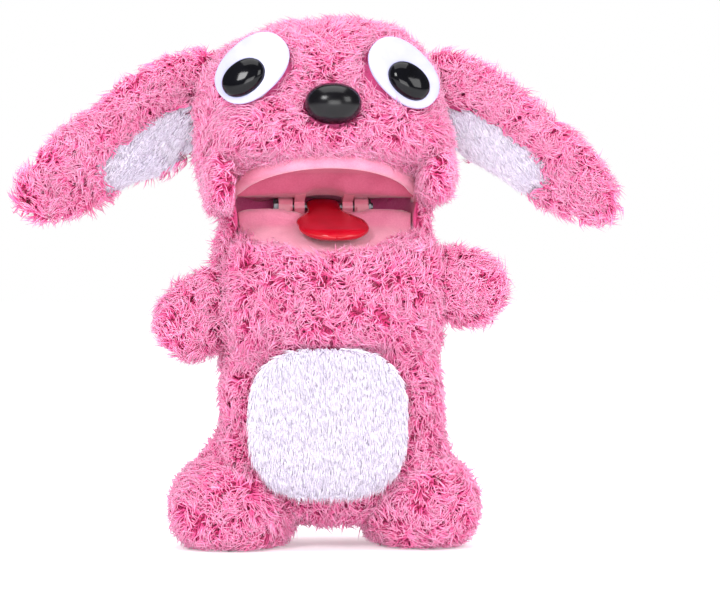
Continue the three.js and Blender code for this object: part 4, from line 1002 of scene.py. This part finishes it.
palate_points, palate_faces = jaw_pad(35.5, 4.5, 45.0, 3.2, 5.9, 2.4)
lowered = np.clip((palate_points[:, 1] + 22) / 8, 0, 1)
lowered = lowered ** 2 * (3 - 2 * lowered) * (1 - 0.55 * np.clip((palate_points[:, 1] + 13.5) / 8.5, 0, 1))
lowered = lowered * (1 - 0.45 * np.exp(-(palate_points[:, 0] / 6.5) ** 4))
palate_points[:, 2] -= np.where(palate_points[:, 2] < 6.0, 5.0 * lowered, 0)
# The palate felt wears the deeper pink, painted shade for the hollow of the upper jaw.
palate = piece("palate_felt", placed(palate_points, UPPER_FRAME), palate_faces, palate_painted_shade)
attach(palate, "head")

lower_points, lower_faces = jaw_pad(33.6, 5.0, 48.5, -2.7, -6.0, 0.5)
sunk = 1.2 * np.exp(-(lower_points[:, 0] / 6.0) ** 2)
lobe_height = 3.6 + 1.0 * (np.abs(lower_points[:, 0]) > 16)
lobe_ahead = np.exp(-((lower_points[:, 1] + 9.0) / 5.0) ** 2)
lobe = lobe_height * lobe_ahead * (1 - np.exp(-(lower_points[:, 0] / 8.5) ** 4))
lower_points[:, 2] += np.where(lower_points[:, 2] > -4.4, lobe - sunk, 0)
lower_lining = piece("lower_mouth_felt", placed(lower_points, LOWER_FRAME), lower_faces, mouth_felt)
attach(lower_lining, "torso")
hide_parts("lower_mouth_lining")

# Tongue: sections carried forward from the hinge, a narrow neck that opens into a round paddle.
along = np.concatenate((np.linspace(-1.5, 24, 22), 24 + 20.4 * np.sin(np.linspace(0, np.pi / 2, 26))[1:]))
paddle = 13.4 * np.sqrt(np.clip(1 - ((along - 30.5) / 13.9) ** 2, 0, 1))
opening = np.clip((along - 7) / 17, 0, 1)
half_wide = np.where(along > 30.5, paddle, 6.5 + 6.9 * opening ** 2 * (3 - 2 * opening))
half_thick = 2.3 * np.clip((44.4 - along) / 4.0, 0.02, 1) ** 0.5
TONGUE_SIDES = 36
angle = np.arange(TONGUE_SIDES) * 2 * np.pi / TONGUE_SIDES
ring_x = np.sign(np.cos(angle)) * np.abs(np.cos(angle)) ** 0.72
ring_z = np.sign(np.sin(angle)) * np.abs(np.sin(angle)) ** 0.82
height = 0.6 + 0.045 * np.clip(along - 14, 0, None)
aside = 1.9 * np.clip((along - 8) / 20, 0, 1)
tongue_points = np.stack((
    half_wide[:, None] * ring_x + aside[:, None], np.repeat(-along[:, None], TONGUE_SIDES, 1),
    half_thick[:, None] * ring_z + height[:, None]
), -1)
root, tip = (0, 1.5, height[0]), (aside[-1], -44.5, height[-1])
tongue_points = np.vstack((tongue_points.reshape(-1, 3), root, tip))
tongue_end = len(tongue_points) - 1
tongue_faces = ring_faces(len(along), TONGUE_SIDES, 0, tongue_end - 1, tongue_end)
tongue_faces = outward(tongue_points, tongue_faces)
tongue = piece("tongue_paddle", placed(tongue_points, LOWER_FRAME), tongue_faces, tongue_red)
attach(tongue, "torso")
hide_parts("tongue")


# ---- neck --------------------------------------------------------------------------------------

def neck_grid():
    """A band of backing round the back and sides of the neck, from the body's top to the head's underside.

    A point's place is an azimuth and a height on an upright form, and the band is closed by an inner wall."""
    turnings = np.radians(np.linspace(-6, 186, 90))
    heights = np.linspace(108, 152, 26)
    az, z = np.meshgrid(turnings, heights, indexing="ij")
    pinch = 1 - 0.07 * np.exp(-((z - 124) / 9) ** 2)
    x = np.sign(np.cos(az)) * np.abs(np.cos(az)) ** 0.75 * 38.5 * pinch
    y = 8 + np.sign(np.sin(az)) * np.abs(np.sin(az)) ** 0.8 * 28.0 * pinch
    outer = np.stack((x, y, z), -1)
    inner = np.stack((x * 0.95, 8 + (y - 8) * 0.94, z), -1)
    return outer, inner


outer, inner = neck_grid()
rows, columns = outer.shape[:2]
r, c = np.meshgrid(np.arange(rows - 1), np.arange(columns - 1), indexing="ij")
a = (r * columns + c).ravel()
front = np.vstack((
    np.stack((a, a + columns, a + columns + 1), -1), np.stack((a, a + columns + 1, a + 1), -1)
))
shift = rows * columns
border = np.concatenate((
    np.arange(columns), np.arange(1, rows) * columns + columns - 1,
    (rows - 1) * columns + np.arange(columns - 2, -1, -1), np.arange(rows - 2, 0, -1) * columns,
))
after = np.roll(border, -1)
walls = np.vstack((
    np.stack((border, after, after + shift), -1), np.stack((border, after + shift, border + shift), -1)
))
neck_points = np.vstack((outer.reshape(-1, 3), inner.reshape(-1, 3)))
neck_faces = outward(neck_points, np.vstack((front, front[:, ::-1] + shift, walls)))
neck_skin = piece("neck_skin", neck_points, neck_faces, pink_backing)
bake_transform(neck_skin)


@for_hairs
def neck_clear(flat):
    """Blocks hairs that would cross the open mouth between the jaws."""
    upper, lower = in_jaw(flat, UPPER_FRAME), in_jaw(flat, LOWER_FRAME)
    bad = (upper[:, 2] < 5.0) & (lower[:, 2] > -5.0) & (flat[:, 1] < 24) & (np.abs(flat[:, 0]) < 34.8)
    return bad


rooted = neck_faces[np.r_[0:len(front), 2 * len(front):len(neck_faces)]]
for one in furred("neck_fur", neck_points, rooted, lambda where: 1 + 7.0 * (where[:, 1] < 8),
                  lambda where, facing: waves(where, 20, 81) * 0.8 + waves(where, 8, 82) * 0.9
                  + np.array((0, -0.7, -0.2)), 1700, None, neck_clear, seed=83):
    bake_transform(one)


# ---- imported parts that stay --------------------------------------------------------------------

KEPT = {
    hinge_pink: ["upper_jaw_plate", "lower_jaw_plate"],
    frame_grey: ["back_shell", "front_shell", "squeeze_lever", "thumb_plate", "eye_washer_left",
                 "eye_washer_right", "nose_washer"],
    plated_steel: ["hinge_pin", "hinge_pin_ring", "lever_pin", "lever_pin_ring", "crank_pin", "return_spring",
                   "thumb_plate_screw_lower", "thumb_plate_screw_upper", "shell_screw_1", "shell_screw_2",
                   "shell_screw_3", "shell_screw_4", "jaw_screw_1", "jaw_screw_2"],
    cream_foam: ["tummy_pad"],
}
for finish, names in KEPT.items():
    for name in names:
        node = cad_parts[name]
        node.data.materials.clear()
        node.data.materials.append(finish)


# ---- floor and light ---------------------------------------------------------------------------

def studio_floor():
    """A level pale floor that runs far past the puppet on every side."""
    reach = 60000.0
    corners = np.array(((-reach, -reach, 0), (reach, -reach, 0), (reach, reach, 0), (-reach, reach, 0)))
    return piece("studio_floor", corners, np.array(((0, 1, 2, 3),)), floor_finish)


floor_finish, floor_tree, floor_body = finish_named(
    "painted_board_white", {
        "Base Color": linear("#F4F4F6"), "Roughness": 0.9, "Specular IOR Level": 0.0,
        "Emission Color": linear("#FFFFFF"), "Emission Strength": 0.3,
    }
)
studio_floor()


def softbox(name, place, aim, size, watts):
    """A white area light at a place, facing a point."""
    data = bpy.data.lights.new(name, "AREA")
    data.shape = "RECTANGLE"
    data.size, data.size_y = size
    data.energy = watts
    lamp = bpy.data.objects.new(name, data)
    bpy.context.scene.collection.objects.link(lamp)
    away = np.array(aim, float) - np.array(place, float)
    pitch = math.atan2(math.hypot(away[0], away[1]), -away[2])
    lamp.location = place
    lamp.rotation_euler = (pitch, 0, math.atan2(away[0], -away[1]) + math.pi)


softbox("key_softbox", (-0.8, -1.5, 1.0), (0, 0, 0.11), (0.5, 0.5), 16)
softbox("low_softbox", (0.1, -1.9, 0.25), (0, 0, 0.09), (1.0, 0.5), 10)
softbox("fill_softbox", (1.2, -1.2, 0.7), (0, 0, 0.11), (0.7, 0.7), 9)
softbox("top_softbox", (0.0, -0.1, 1.6), (0, 0, 0.11), (1.4, 1.4), 16)
softbox("back_softbox", (0.3, 1.5, 1.0), (0, 0, 0.11), (1.0, 1.0), 6)

# The surroundings: white to the eye, a soft fill on the pile, and dim in the glossy parts.
world = bpy.data.worlds.new("studio_world")
bpy.context.scene.world = world
world.use_nodes = True
world_tree = world.node_tree
ray = world_tree.nodes.new("ShaderNodeLightPath")
strength = add(world_tree, "Math", {"operation": "MULTIPLY_ADD", 1: -0.72, 2: 0.86},
               {0: ray.outputs["Is Glossy Ray"]})
seen = add(world_tree, "Math", {"operation": "MULTIPLY_ADD", 1: 0.14},
           {0: ray.outputs["Is Camera Ray"], 2: strength.outputs[0]})
surround = world_tree.nodes["Background"]
surround.inputs["Color"].default_value = linear("#FFFFFF")
world_tree.links.new(seen.outputs[0], surround.inputs["Strength"])
bpy.context.scene.view_settings.view_transform = "Standard"
